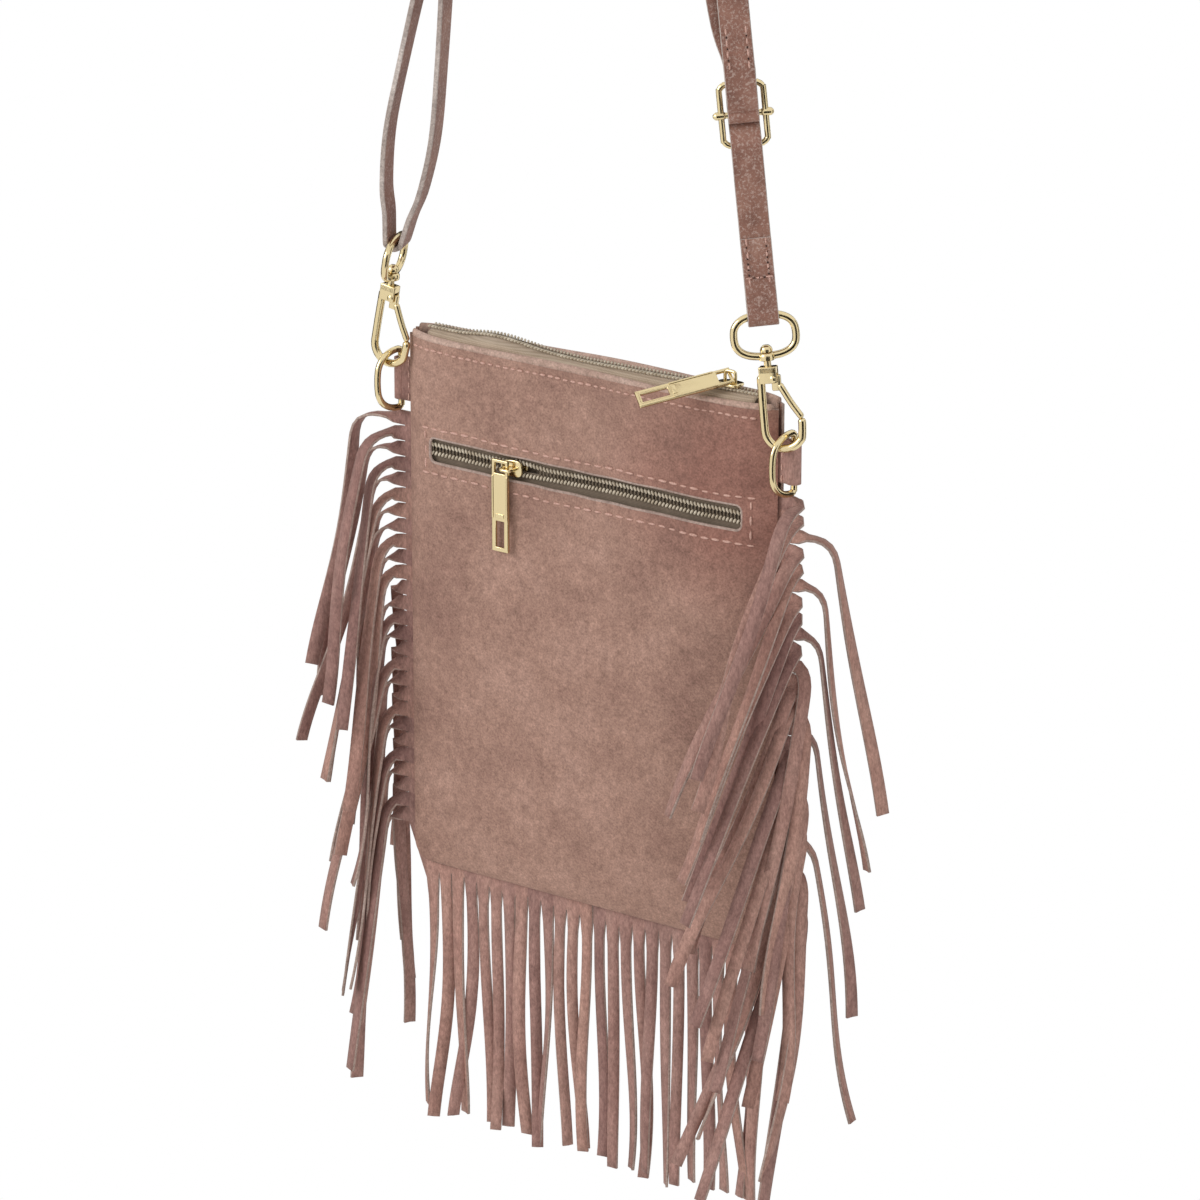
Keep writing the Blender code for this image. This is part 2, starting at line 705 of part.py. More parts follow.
def strap_route(total, crown):
    """(distance, height off the line) pairs: right eye, buckle, crown, left eye and back to the buckle."""
    edge = (STRAP_WIDTH / 2 / EYE_HALF_WIDTH) ** EYE_FLATNESS
    eye_drop = EYE_HALF_HEIGHT * (1 - (1 - edge) ** (1 / EYE_FLATNESS))
    wrap = EYE_WIRE + GAP + eye_drop + STRAP_THICK / 2
    layer = STRAP_THICK / 2 + GAP / 2
    route = [(SEWN_END, layer), (SEWN_END / 2, layer + 0.0003), (0.0055, wrap * 0.86)]
    for angle in (20, 0, -30, -60, -90, -120, -150, 180, 160):
        turned = math.radians(angle)
        route.append((wrap * math.sin(turned), wrap * math.cos(turned)))
    route += [(0.0055, -wrap * 0.86), (SEWN_END / 2, -layer - 0.0003), (SEWN_END, -layer), (0.045, -0.0004)]
    centre = BUCKLE_CLIMB
    bar = BUCKLE_WIRE + GAP + STRAP_THICK / 2
    step = BUCKLE_HEIGHT / 2
    behind = bar + STRAP_THICK + 0.0004
    route += [(centre - step - 0.007, 0.0014), (centre - step, bar), (centre - step / 2, -0.0012)]
    route += [(centre - 0.003, -behind * 0.92), (centre, -behind), (centre + 0.003, -behind * 0.92)]
    route += [(centre + step / 2, -0.0012), (centre + step, bar), (centre + step + 0.008, bar * 0.7)]
    far = centre + 0.060
    plain = [far + (crown[0] - far) * k / 5 for k in range(6)]
    plain += [crown[0] + (crown[1] - crown[0]) * k / 14 for k in range(1, 15)]
    plain += [crown[1] + (total - LOOP_START - crown[1]) * k / 3 for k in range(1, 4)]
    inner = [(centre + 0.034, 0.0)] + [(distance, -layer) for distance in plain]
    spread_out = ((0.110, 0.0050), (0.075, 0.0078), (0.045, LOOP_SPREAD), (0.022, 0.0078), (0.010, 0.0050))
    inner += [(total - back, -off) for back, off in spread_out]
    route += inner
    for angle in (-75, -45, -20, 0, 20, 45, 75):
        turned = math.radians(angle)
        route.append((total + wrap * math.cos(turned), wrap * math.sin(turned)))
    route += [(total - back, off) for back, off in reversed(spread_out)]
    route += [(distance, layer) for distance in reversed(plain)]
    lift = STRAP_THICK + 0.0004
    top = bar + 2 * lift
    route += [(centre + 0.034, 2 * lift), (centre + step + 0.006, top), (centre + step / 2, bar + lift * 1.2)]
    for angle in (35, 0, -30, -60, -90, -120, -150, 180, 145):
        turned = math.radians(angle)
        route.append((centre + bar * math.sin(turned), bar * math.cos(turned)))
    route += [(centre + step / 2, -0.0012 + lift * 1.05), (centre + step, bar + lift), (centre + 0.030, lift)]
    return route


def make_strap():
    at, total, crown = strap_frames()
    work = bmesh.new()
    rings = []
    places = []
    for distance, height in strap_route(total, crown):
        place, along, width, normal = at(distance)
        places.append((place + normal * height, width, along, normal))
    for index, (place, width, along, normal) in enumerate(places):
        before = places[max(index - 1, 0)][0]
        after = places[min(index + 1, len(places) - 1)][0]
        direction = (after - before).normalized()
        up = width.cross(direction).normalized()
        corners = []
        for a, b in ((-1, -1), (1, -1), (1, 1), (-1, 1)):
            corners.append(work.verts.new(place + width * a * STRAP_WIDTH / 2 + up * b * STRAP_THICK / 2))
        rings.append(corners)
    for first, second in zip(rings, rings[1:]):
        for index in range(4):
            after = (index + 1) % 4
            work.faces.new((first[index], first[after], second[after], second[index]))
    work.faces.new(rings[0][::-1])
    work.faces.new(rings[-1])
    add("strap", mesh_from("strap", work), STRAP_ROSE)

    place, along, width, normal = at(BUCKLE_CLIMB)
    turn = Matrix((width, normal * -1, along)).transposed().to_4x4()
    matrix = Matrix.Translation(place) @ turn
    half_w = BUCKLE_WIDTH / 2
    half_h = BUCKLE_HEIGHT / 2
    corner = BUCKLE_CORNER
    outline = []
    for cx, cz, start in ((1, 1, 0), (-1, 1, 90), (-1, -1, 180), (1, -1, 270)):
        outline += arc((cx * (half_w - corner), cz * (half_h - corner)), corner, start, start + 90, 4)
    frame = as_mesh("buckle", wire_curve("buckle", outline, BUCKLE_WIRE, closed=True))
    frame = add("buckle", frame, PALE_GOLD, matrix)
    bar = rod_mesh("bar", BUCKLE_WIRE, (-half_w - BUCKLE_KNOB, 0, 0), (half_w + BUCKLE_KNOB, 0, 0), sides=12)
    boolean(frame, add_cutter("buckle_bar", bar, matrix), "UNION")


def make_slider(name, matrix, back_plate_y):
    """Wings in front of and behind the chain, a thin post between its rows, and a bridge for the puller."""
    front = ROW_THICK + GAP
    slider = add(
        name,
        box_mesh(name, (SLIDER_LENGTH, SLIDER_PLATE, SLIDER_WIDTH), (0, -front - SLIDER_PLATE / 2, 0)),
        PALE_GOLD,
        matrix,
    )
    back = box_mesh("wing", (SLIDER_LENGTH, SLIDER_PLATE, SLIDER_WIDTH), (0, back_plate_y + SLIDER_PLATE / 2, 0))
    post = box_mesh(
        "post",
        (SLIDER_LENGTH * 0.35, back_plate_y + front + SLIDER_PLATE, ROW_GAP - 2 * GAP),
        (SLIDER_LENGTH * 0.2, (back_plate_y - front) / 2, 0),
    )
    lift = -front - SLIDER_PLATE
    reach = BRIDGE_REACH
    rise = TUNNEL + BRIDGE_WIRE
    bridge = wire_curve(
        "bridge",
        [
            (-reach, lift + 0.0005, 0),
            (-reach, lift - rise * 0.75, 0),
            (-reach * 0.7, lift - rise, 0),
            (reach * 0.7, lift - rise, 0),
            (reach, lift - rise * 0.75, 0),
            (reach, lift + 0.0005, 0),
        ],
        BRIDGE_WIRE,
    )
    for label, data in (("wing", back), ("post", post), ("bridge", as_mesh("bridge", bridge))):
        boolean(slider, add_cutter(f"{name}_{label}", data, matrix), "UNION")
    return slider


def bar_height():
    """How far in front of the chain's back the puller's bar turns, at the top of the tunnel."""
    room = math.hypot(PULLER_BAR, PULLER_THICK) / 2 + GAP / 2
    return ROW_THICK + GAP + SLIDER_PLATE + TUNNEL - room


def make_puller(name, matrix, held_by_side):
    """A flat bar that hangs along -Z, with an eye at its top and a long slot near its foot.

    The origin is on the bar of the eye that turns under the slider's bridge: its top or its side.
    """
    side_bar = (PULLER_WIDTH - PULLER_EYE[0]) / 2
    if held_by_side:
        centre_x = -(PULLER_WIDTH - side_bar) / 2
        top = PULLER_EYE[1] / 2 + PULLER_BAR
    else:
        centre_x = 0.0
        top = PULLER_BAR / 2
    plate = box_mesh(name, (PULLER_WIDTH, PULLER_THICK, PULLER_LENGTH), (centre_x, 0, top - PULLER_LENGTH / 2))
    puller = add(name, plate, PALE_GOLD, matrix)
    eye_z = top - PULLER_BAR - PULLER_EYE[1] / 2
    eye = box_mesh("puller_eye", (PULLER_EYE[0], 0.01, PULLER_EYE[1]), (centre_x, 0, eye_z))
    slot_z = top - PULLER_LENGTH + 0.0018 + PULLER_SLOT[1] / 2
    slot = box_mesh("puller_slot", (PULLER_SLOT[0], 0.01, PULLER_SLOT[1]), (centre_x, 0, slot_z))
    boolean(puller, add_cutter(f"{name}_eye", eye, matrix), "DIFFERENCE")
    boolean(puller, add_cutter(f"{name}_slot", slot, matrix), "DIFFERENCE")
    edge = puller.modifiers.new("eased_edges", "BEVEL")
    edge.width = 0.0002
    edge.segments = 1
    edge.limit_method = "ANGLE"
    edge.angle_limit = math.radians(60)
    return puller


def zip_row(name, matrix, sign, half):
    """One coil of the chain as a plain rod with its rounded section."""
    offset = sign * (ROW_GAP / 2 + ROW_WIDTH / 2)
    data = box_mesh(name, (2 * half, ROW_THICK, ROW_WIDTH), (0, -ROW_THICK / 2, offset))
    row = add(name, data, COIL_TAUPE, matrix)
    edge = row.modifiers.new("round_section", "BEVEL")
    edge.width = ROW_THICK * 0.3
    edge.segments = 2
    return row


def make_pocket_zip():
    chain = Matrix.Translation((0, POCKET_TAPE_Y, WINDOW_Z))
    half = WINDOW_HALF + TAPE_PAST
    for label, sign in (("upper", 1), ("lower", -1)):
        zip_row(f"pocket_zip_{label}_coil", chain, sign, WINDOW_HALF - 2 * GAP)
        low = ROW_GAP / 2
        centre = sign * (low + TAPE_WIDTH / 2)
        tape = box_mesh("tape", (2 * half, TAPE_THICK, TAPE_WIDTH), (0, TAPE_THICK / 2 + GAP, centre))
        add(f"pocket_zip_{label}_tape", tape, TAPE_TAUPE, chain)
    slide = chain @ Matrix.Translation((POCKET_SLIDER_X, 0, 0))
    make_slider("pocket_zip_slider", slide, TAPE_THICK + 2 * GAP)
    make_puller("pocket_zip_puller", slide @ Matrix.Translation((0, -bar_height(), 0)), True)


def make_top_zip():
    """The chain lies flat between the hems, its tapes turned down inside them."""
    flat = Matrix.Translation((0, 0, ZIP_Z)) @ Matrix.Rotation(-math.pi / 2, 4, "X")
    for label, sign in (("front", 1), ("back", -1)):
        zip_row(f"top_zip_{label}_coil", flat, sign, ZIP_HALF)

        def tape_place(across, down, sign=sign):
            x = ZIP_HALF * (2 * across - 1)
            inner = ROW_GAP / 2
            turn = SEAM_IN - GAP - TAPE_THICK / 2 + swell(x, HEM_Z - TAPE_DOWN / 2)
            route = [
                (inner, ZIP_Z - GAP - TAPE_THICK / 2),
                (inner + ROW_WIDTH, ZIP_Z - GAP - TAPE_THICK / 2),
                (turn - TAPE_BEND * 0.375, ZIP_Z - GAP - TAPE_THICK / 2),
                (turn, ZIP_Z - TAPE_BEND),
                (turn, HEM_Z - TAPE_DOWN),
            ]
            share = down * (len(route) - 1)
            index = min(int(share), len(route) - 2)
            part = share - index
            y = route[index][0] * (1 - part) + route[index + 1][0] * part
            z = route[index][1] * (1 - part) + route[index + 1][1] * part
            return Vector((x, -sign * y, z))

        sheet_object(f"top_zip_{label}_tape", TAPE_TAUPE, 12, 4, tape_place, TAPE_THICK, offset=0.0)
    slide = flat @ Matrix.Translation((TOP_SLIDER_X, 0, 0))
    make_slider("top_zip_slider", slide, TAPE_THICK + 2 * GAP)
    at = slide @ Vector((0, -bar_height(), 0))
    heading = Vector((-0.62, -0.72, -0.19)).normalized()
    across = heading.cross(Vector((0, 0, 1))).normalized()
    normal = across.cross(heading)
    turn = Matrix((across, -normal, -heading)).transposed().to_4x4()
    make_puller("top_zip_puller", Matrix.Translation(at) @ turn, False)


for leftover in list(bpy.data.objects):
    bpy.data.objects.remove(leftover)
BAG = collection("fringed_suede_bag")
CUTTERS = collection("cutters")
make_body()
make_fringe()
for name, side in (("left", -1), ("right", 1)):
    make_tab(name, side)
    make_hook(name, side)
make_strap()
make_pocket_zip()
make_top_zip()
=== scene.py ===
import math
import random

import bmesh
import bpy
from mathutils import Matrix, Vector


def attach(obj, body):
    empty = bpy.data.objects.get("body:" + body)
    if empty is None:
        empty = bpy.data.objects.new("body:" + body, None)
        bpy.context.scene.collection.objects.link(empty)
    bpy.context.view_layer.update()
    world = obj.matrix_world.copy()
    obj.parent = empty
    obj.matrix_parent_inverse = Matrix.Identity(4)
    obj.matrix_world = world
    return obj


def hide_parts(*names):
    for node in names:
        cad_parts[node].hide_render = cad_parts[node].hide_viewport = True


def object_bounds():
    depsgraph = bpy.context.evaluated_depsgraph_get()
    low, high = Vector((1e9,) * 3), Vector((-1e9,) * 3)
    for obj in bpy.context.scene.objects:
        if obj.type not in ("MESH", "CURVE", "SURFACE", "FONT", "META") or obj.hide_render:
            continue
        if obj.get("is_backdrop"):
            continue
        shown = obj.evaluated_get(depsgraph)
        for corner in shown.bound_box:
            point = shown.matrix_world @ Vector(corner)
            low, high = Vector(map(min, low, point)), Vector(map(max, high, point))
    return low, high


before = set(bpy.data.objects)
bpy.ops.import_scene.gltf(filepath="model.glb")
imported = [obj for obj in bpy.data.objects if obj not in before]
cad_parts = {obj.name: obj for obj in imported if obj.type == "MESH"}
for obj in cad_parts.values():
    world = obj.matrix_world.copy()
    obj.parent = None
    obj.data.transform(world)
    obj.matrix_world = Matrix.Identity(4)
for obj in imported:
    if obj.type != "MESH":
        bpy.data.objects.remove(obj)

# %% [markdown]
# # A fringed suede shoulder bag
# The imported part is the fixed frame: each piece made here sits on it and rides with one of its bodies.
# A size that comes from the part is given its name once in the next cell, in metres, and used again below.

cad_low, cad_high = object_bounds()

HALF = 0.090
BAG_HEIGHT = 0.226
HEM_Z = -0.350
BOTTOM_Z = HEM_Z - BAG_HEIGHT
SUEDE = 0.0012
TOP_SWELL = 0.0062
BELLY = 0.0090
SEAM_IN = SUEDE / 2 + 0.0003
BACK_HEM_RISE = 0.0015
CORNER_RADIUS = 0.008
WINDOW_HALF = 0.0767
WINDOW_HEIGHT = 0.0106
WINDOW_CORNER = 0.0028
WINDOW_Z = HEM_Z - 0.0402 - WINDOW_HEIGHT / 2
ZIP_Z = HEM_Z + 0.0037
RING_DROP = 0.0205
RING_HALF = 0.01225
RING_WIRE = 0.0014
GAP = 0.0003

print("frame box", [round(v, 4) for v in (*cad_low, *cad_high)])

# %% [markdown]
# ## Camera
# The photo looks at the bag from its front right, a little above, with a long lens. A long lens keeps the
# bag's edges nearly parallel. The shift is only what puts the bag where the photo's frame has it.

# %% Camera
AZIMUTH = math.radians(36.44)
ELEVATION = math.radians(19.11)
DISTANCE = 2.463
TARGET = Vector((0, 0, -0.461))

camera_data = bpy.data.cameras.new("camera")
camera_data.lens = 184.62
camera_data.sensor_width = 36.0
camera_data.shift_x = 0.0055
camera_data.shift_y = 0.0292
camera_data.clip_start = 0.05
camera_data.clip_end = 50
camera = bpy.data.objects.new("camera", camera_data)
bpy.context.scene.collection.objects.link(camera)
towards_camera = Vector(
    (math.sin(AZIMUTH) * math.cos(ELEVATION), -math.cos(AZIMUTH) * math.cos(ELEVATION), math.sin(ELEVATION))
)
camera.location = TARGET + towards_camera * DISTANCE
camera.rotation_mode = "QUATERNION"
camera.rotation_quaternion = (-towards_camera).to_track_quat("-Z", "Y")
bpy.context.scene.camera = camera
print("camera at", [round(v, 3) for v in camera.location])

# %% [markdown]
# ## Colours and nodes
# Colours are written as the hex values that a paint program shows, and one function makes them linear.
# Another small function adds a node with its settings and links, so that each material reads as a list.

# %% Colour and node helpers


def linear(code):
    """A hex colour as linear light."""
    found = []
    for start in (0, 2, 4):
        value = int(code[start:start + 2], 16) / 255
        found.append(value / 12.92 if value <= 0.04045 else ((value + 0.055) / 1.055) ** 2.4)
    return (*found, 1.0)


def node(tree, kind, settings=None, **inputs):
    """Add a node: settings are its properties, inputs are values or sockets to link."""
    made = tree.nodes.new(kind)
    for name, value in (settings or {}).items():
        setattr(made, name, value)
    for name, value in inputs.items():
        key = int(name[1:]) if name[0] == "_" and name[1:].isdigit() else name.replace("_", " ")
        socket = made.inputs[key]
        if isinstance(value, bpy.types.NodeSocket):
            tree.links.new(value, socket)
        else:
            socket.default_value = value
    return made


def new_material(name, **shader_values):
    """A material with its tree and its shader, whose plain values are given by name."""
    made = bpy.data.materials.new(name)
    made.use_nodes = True
    shader = made.node_tree.nodes["Principled BSDF"]
    for key, value in shader_values.items():
        shader.inputs[key.replace("_", " ")].default_value = value
    return made, made.node_tree, shader


def ramp(tree, factor, stops):
    """Colours or shares of light along a factor, as pairs of place and colour."""
    made = node(tree, "ShaderNodeValToRGB", Fac=factor)
    elements = made.color_ramp.elements
    while len(elements) < len(stops):
        elements.new(0.5)
    for element, (place, colour) in zip(elements, stops):
        element.position = place
        element.color = colour
    return made.outputs["Color"]


def linked(name, data):
    """A new object in the scene."""
    made = bpy.data.objects.new(name, data)
    bpy.context.scene.collection.objects.link(made)
    return made


print("helpers ready")

# %% [markdown]
# ## Floor, backdrop and light
# The photo has a plain white ground with no horizon. A pale floor carries the shadow, and the camera and
# the mirrors see white beyond it. A large soft lamp stands on the left in front, a weaker one on the right.
# A plated wire in an all white room has no edges, so four black cards stand round it that only mirrors see,
# as a photographer sets them up.

# %% Floor and world
FLOOR_DROP = 0.35
FLOOR_HALF = 6
MIDDLE_HEIGHT = Vector((0, 0, -0.45))
CARD_DISTANCE = 1.15


def mirrors_and_camera(tree):
    """1 for a ray of the camera, of a reflection or through glass, and 0 for the soft light."""
    path = node(tree, "ShaderNodeLightPath")
    seen = path.outputs["Is Camera Ray"]
    for kind in ("Is Glossy Ray", "Is Transmission Ray"):
        seen = node(tree, "ShaderNodeMath", {"operation": "MAXIMUM"}, _0=seen, _1=path.outputs[kind]).outputs[0]
    return seen


def flat_card(name, corners, material):
    data = bpy.data.meshes.new(name)
    data.from_pydata(corners, [], [(0, 1, 2, 3)])
    data.materials.append(material)
    return linked(name, data)


# White backdrop paper, a little off white where light falls on it
floor_paper, tree, shader = new_material("white_paper_floor", Base_Color=linear("F2F1EF"), Roughness=0.9)
plain_white = node(tree, "ShaderNodeEmission", Color=linear("FFFFFF"), Strength=1.0)
seen = mirrors_and_camera(tree)
paper = node(tree, "ShaderNodeMixShader", _0=seen, _1=shader.outputs[0], _2=plain_white.outputs[0])
tree.links.new(paper.outputs[0], tree.nodes["Material Output"].inputs["Surface"])
floor_z = cad_low[2] - FLOOR_DROP
corners = [(x * FLOOR_HALF, y * FLOOR_HALF, floor_z) for x, y in ((-1, -1), (1, -1), (1, 1), (-1, 1))]
floor = flat_card("floor", corners, floor_paper)
floor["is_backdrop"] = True

world = bpy.data.worlds.new("studio")
bpy.context.scene.world = world
world.use_nodes = True
tree = world.node_tree
room = tree.nodes["Background"]
room.inputs["Color"].default_value = linear("FFFFFF")
room.inputs["Strength"].default_value = 0.50
white = node(tree, "ShaderNodeBackground", Color=linear("FFFFFF"), Strength=1.0)
seen = mirrors_and_camera(tree)
mixed = node(tree, "ShaderNodeMixShader", _0=seen, _1=room.outputs[0], _2=white.outputs[0])
tree.links.new(mixed.outputs[0], tree.nodes["World Output"].inputs["Surface"])


def lamp(name, place, size, power):
    data = bpy.data.lights.new(name, "AREA")
    data.size = size
    data.energy = power
    made = linked(name, data)
    made.location = place
    made.rotation_mode = "QUATERNION"
    made.rotation_quaternion = (MIDDLE_HEIGHT - Vector(place)).to_track_quat("-Z", "Y")


lamp("key_left", (-1.3, -2.0, 0.9), 1.4, 31)
lamp("fill_right", (2.2, -1.2, 0.1), 1.6, 11)
bpy.context.scene.view_settings.view_transform = "Standard"


def black_card(name, azimuth, wide, high):
    turn = math.radians(azimuth)
    middle = Vector((math.sin(turn), -math.cos(turn), 0)) * CARD_DISTANCE + MIDDLE_HEIGHT
    across = Vector((math.cos(turn), math.sin(turn), 0)) * wide / 2
    up = Vector((0, 0, high / 2))
    corners = [middle - across - up, middle + across - up, middle + across + up, middle - across + up]
    made = flat_card(name, corners, card_black)
    made.visible_camera = False
    made.visible_diffuse = False
    made.visible_shadow = False
    made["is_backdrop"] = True


# Black card stock with no shine
card_black, tree, shader = new_material("black_studio_card", Base_Color=linear("1C1713"), Roughness=1.0)
shader.inputs["Specular IOR Level"].default_value = 0.0
black_card("card_by_camera", 52, 1.25, 1.4)
black_card("card_left", -88, 0.8, 1.4)
black_card("card_right", 128, 0.5, 1.4)
black_card("card_back", 205, 0.9, 1.4)
print("stage and lamps ready")

# %% [markdown]
# ## Suede
# Suede is split leather whose cut side is buffed to a short nap. The nap lies this way and that, so the
# colour drifts in soft patches, and it carries a fine grain a fraction of a millimetre wide.
# Three sizes of noise draw the patches, some 30 mm wide, the stroked nap, 4 mm, and the grain, 1 mm, which
# is drawn several times coarser than a real fibre so that it shows. A weak sheen gives the pale edge that a
# napped surface has against the light. Cut strips turn different sides out, so each gets a tone of its own
# from an attribute of its mesh, and the darker tones are also painted shade, for strips that hang in shadow.
# The corner of a face beside the slider is painted darker, as shade, and rosier.

# %% Suede material


def suede(name, tones, stretch=(1.0, 1.0, 1.0), shaded_corner=False, cut=False):
    """tones are the dark, middle and pale hex colours of the nap; the corner flag paints shade, darker and rosier,
    on the corner beside the slider, and cut gives each strip its own tone, the darker ones painted shade."""
    made, tree, shader = new_material(name, Roughness=0.92, Sheen_Weight=0.35, Sheen_Roughness=0.45)
    shader.inputs["Specular IOR Level"].default_value = 0.2
    shader.inputs["Sheen Tint"].default_value = linear("E8C9BD")
    place = node(tree, "ShaderNodeTexCoord").outputs["Object"]
    place = node(tree, "ShaderNodeMapping", Vector=place, Scale=stretch).outputs["Vector"]
    patches = node(tree, "ShaderNodeTexNoise", Vector=place, Scale=34.0, Detail=6.0, Roughness=0.7)
    stroked = node(tree, "ShaderNodeTexNoise", Vector=place, Scale=260.0, Detail=6.0, Roughness=0.72)
    grain = node(tree, "ShaderNodeTexNoise", Vector=place, Scale=1100.0, Detail=4.0, Roughness=0.75)
    base = ramp(tree, patches.outputs["Fac"], [(at, linear(tone)) for at, tone in zip((0.25, 0.50, 0.78), tones)])
    stroke_shade = ramp(tree, stroked.outputs["Fac"], [(0.28, (0.76, 0.75, 0.75, 1)), (0.72, (1.22, 1.23, 1.23, 1))])
    grain_shade = ramp(tree, grain.outputs["Fac"], [(0.30, (0.66, 0.65, 0.65, 1)), (0.70, (1.33, 1.34, 1.35, 1))])
    layers = [(1.0, stroke_shade), (1.0, grain_shade)]
    if shaded_corner:
        # The corner beside the slider is painted darker and rosier over some 60 mm: painted shade where the face
        # turns from the key lamp, with a rosier tone
        corner = node(tree, "ShaderNodeTexCoord").outputs["Object"]
        corner_shade_place = {"Location": (0.082, 0.0, -0.385), "Scale": (0.075, 1.0, 0.060)}
        corner = node(tree, "ShaderNodeMapping", {"vector_type": "TEXTURE"}, Vector=corner, **corner_shade_place)
        ball = node(tree, "ShaderNodeTexGradient", {"gradient_type": "SPHERICAL"}, Vector=corner.outputs[0])
        near, patchy = ball.outputs["Fac"], patches.outputs["Fac"]
        share = node(tree, "ShaderNodeMath", {"operation": "MULTIPLY"}, _0=near, _1=patchy)
        share = node(tree, "ShaderNodeMapRange", Value=share.outputs[0], From_Max=0.30)
        layers.append((share.outputs[0], (0.80, 0.66, 0.66, 1)))
    if cut:
        # Each strip's own random tone; its darker end is painted shade, for strips that hang in shadow
        own = node(tree, "ShaderNodeAttribute", {"attribute_name": "strip_tone_and_shade"})
        own = node(tree, "ShaderNodeMapRange", Value=own.outputs["Fac"], From_Min=-1.0, From_Max=1.0)
        strip_tones_and_shade = [(0.0, (0.80, 0.78, 0.80, 1)), (0.5, (1, 1, 1, 1)), (1.0, (1.17, 1.16, 1.10, 1))]
        layers.append((1.0, ramp(tree, own.outputs[0], strip_tones_and_shade)))
    colour = base
    for share, shade in layers:
        mixing = {"data_type": "RGBA", "blend_type": "MULTIPLY"}
        colour = node(tree, "ShaderNodeMix", mixing, _0=share, _6=colour, _7=shade).outputs[2]
    tree.links.new(colour, shader.inputs["Base Color"])
    strokes, grains = stroked.outputs["Fac"], grain.outputs["Fac"]
    height = node(tree, "ShaderNodeMath", {"operation": "MULTIPLY_ADD"}, _0=strokes, _1=0.5, _2=grains)
    bump = node(tree, "ShaderNodeBump", Height=height.outputs[0], Strength=0.35, Distance=0.00025)
    tree.links.new(bump.outputs["Normal"], shader.inputs["Normal"])
    return made


body_suede = suede("buffed_split_suede", ("927064", "A78475", "B79384"), shaded_corner=True)
fringe_suede = suede("cut_fringe_suede", ("946E66", "A88278", "B89488"), (1.0, 1.0, 0.45), cut=True)
print("suede:", body_suede.name, fringe_suede.name)

# %% [markdown]
# ## Pale gold plate
# The hooks, rings, buckle and pullers are cast zinc with a bright pale gold plate, which mirrors the
# white studio and turns dark where it faces away from it. A little roughness noise keeps it from
# looking like glass.

# %% Gold plate material
gold, tree, shader = new_material("pale_gold_plated_zinc", Base_Color=linear("E2CFA2"), Metallic=1.0, Roughness=0.16)
place = node(tree, "ShaderNodeTexCoord").outputs["Object"]
cloud = node(tree, "ShaderNodeTexNoise", Vector=place, Scale=320.0, Detail=3.0).outputs["Fac"]
rough = node(tree, "ShaderNodeMapRange", Value=cloud, From_Min=0.3, From_Max=0.7, To_Min=0.10, To_Max=0.24)
tree.links.new(rough.outputs[0], shader.inputs["Roughness"])
print("metal:", gold.name)

# %% [markdown]
# ## The suede faces
# A face of the bag is one cut of suede, sewn inside out and turned, so it swells out of the side seams with
# a round edge and is fullest low down, where the bag is filled. It could be sculpted or simulated, but
# it is drawn as a fine grid over the same rule as the part's panel, so it stays where the seams are, and
# soft dents and puckers are laid on top. The pocket's window is cut with a Boolean. Solidify gives the
# hide its thickness, and its rim takes the paler colour of a cut edge.

# %% Helpers for soft shapes


def smooth(t):
    """0 below 0, 1 above 1 and a soft step between."""
    t = min(max(t, 0.0), 1.0)
    return t * t * (3 - 2 * t)


def swell(x, z):
    """How far a face stands out of the seam plane."""
    down = min(max((HEM_Z - z) / BAG_HEIGHT, 0.0), 1.0)
    reach = TOP_SWELL + (BELLY - TOP_SWELL) * smooth((down - 0.28) / 0.32)
    if down > 0.62:
        reach *= math.sqrt(max(0.0, 1 - ((down - 0.62) / 0.38) ** 2))
    power = 10 - 7 * smooth((down - 0.30) / 0.35)
    return reach * (1 - min(1.0, abs(x) / HALF) ** power)


def half_width(z):
    """Half the bag's width at a height, less where the bottom corners are rounded."""
    short = max(0.0, CORNER_RADIUS - max(z - BOTTOM_Z, 0.0))
    return HALF - CORNER_RADIUS + math.sqrt(CORNER_RADIUS**2 - short**2)


def spread(share):
    """Shares from 0 to 1 that crowd at both ends, where the faces curve most."""
    return 0.5 - 0.5 * math.cos(math.pi * share)


def new_object(name, work, materials, flip=False):
    """Link a bmesh as a smooth-shaded piece."""
    if flip:
        bmesh.ops.reverse_faces(work, faces=work.faces)
    data = bpy.data.meshes.new(name)
    work.to_mesh(data)
    work.free()
    data.shade_smooth()
    for entry in materials:
        data.materials.append(entry)
    return linked(name, data)


def skin(work, lines, closed=False):
    """Faces between each line of vertices and the next; a closed line's end joins its start."""
    made = []
    for first, second in zip(lines, lines[1:]):
        if closed:
            first, second = first + first[:1], second + second[:1]
        made += [work.faces.new(four) for four in zip(first, first[1:], second[1:], second)]
    return made


def settle(made, body, slot, *node_names):
    """Let a finished piece ride with its body and stand for the part's nodes; its slot is not used."""
    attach(made, body)
    for node_name in node_names:
        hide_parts(node_name)


def plain_mesh(made):
    """Apply what the modifiers make, so that the piece is a plain mesh."""
    graph = bpy.context.evaluated_depsgraph_get()
    data = bpy.data.meshes.new_from_object(made.evaluated_get(graph))
    made.modifiers.clear()
    made.data = data
    return made


def solid(made, thickness, offset=0.0, rim=0):
    """Give a surface its thickness; rim counts on to the material of its cut edges."""
    wall = made.modifiers.new("wall", "SOLIDIFY")
    wall.thickness = thickness
    wall.offset = offset
    wall.material_offset_rim = rim


def hump(x, z, centre, width, height):
    """A soft round rise of a given size, 1 at its middle."""
    return math.exp(-(((x - centre[0]) / width) ** 2) - ((z - centre[1]) / height) ** 2)


# The raw middle of split leather, paler than its nap
cut_edge = suede("cut_suede_edge", ("A08A80", "B09A8F", "C3B0A6"))

# %% [markdown]
# ## The two faces
# Soft leather puckers along a zip's stitching and dents where it was held, so a few round humps and a short
# wave are added to the swell that both faces share. The window is cut through the finished grid, because a
# cut keeps its straight sides better than a hole drawn in the grid would.

# %% Front and back faces


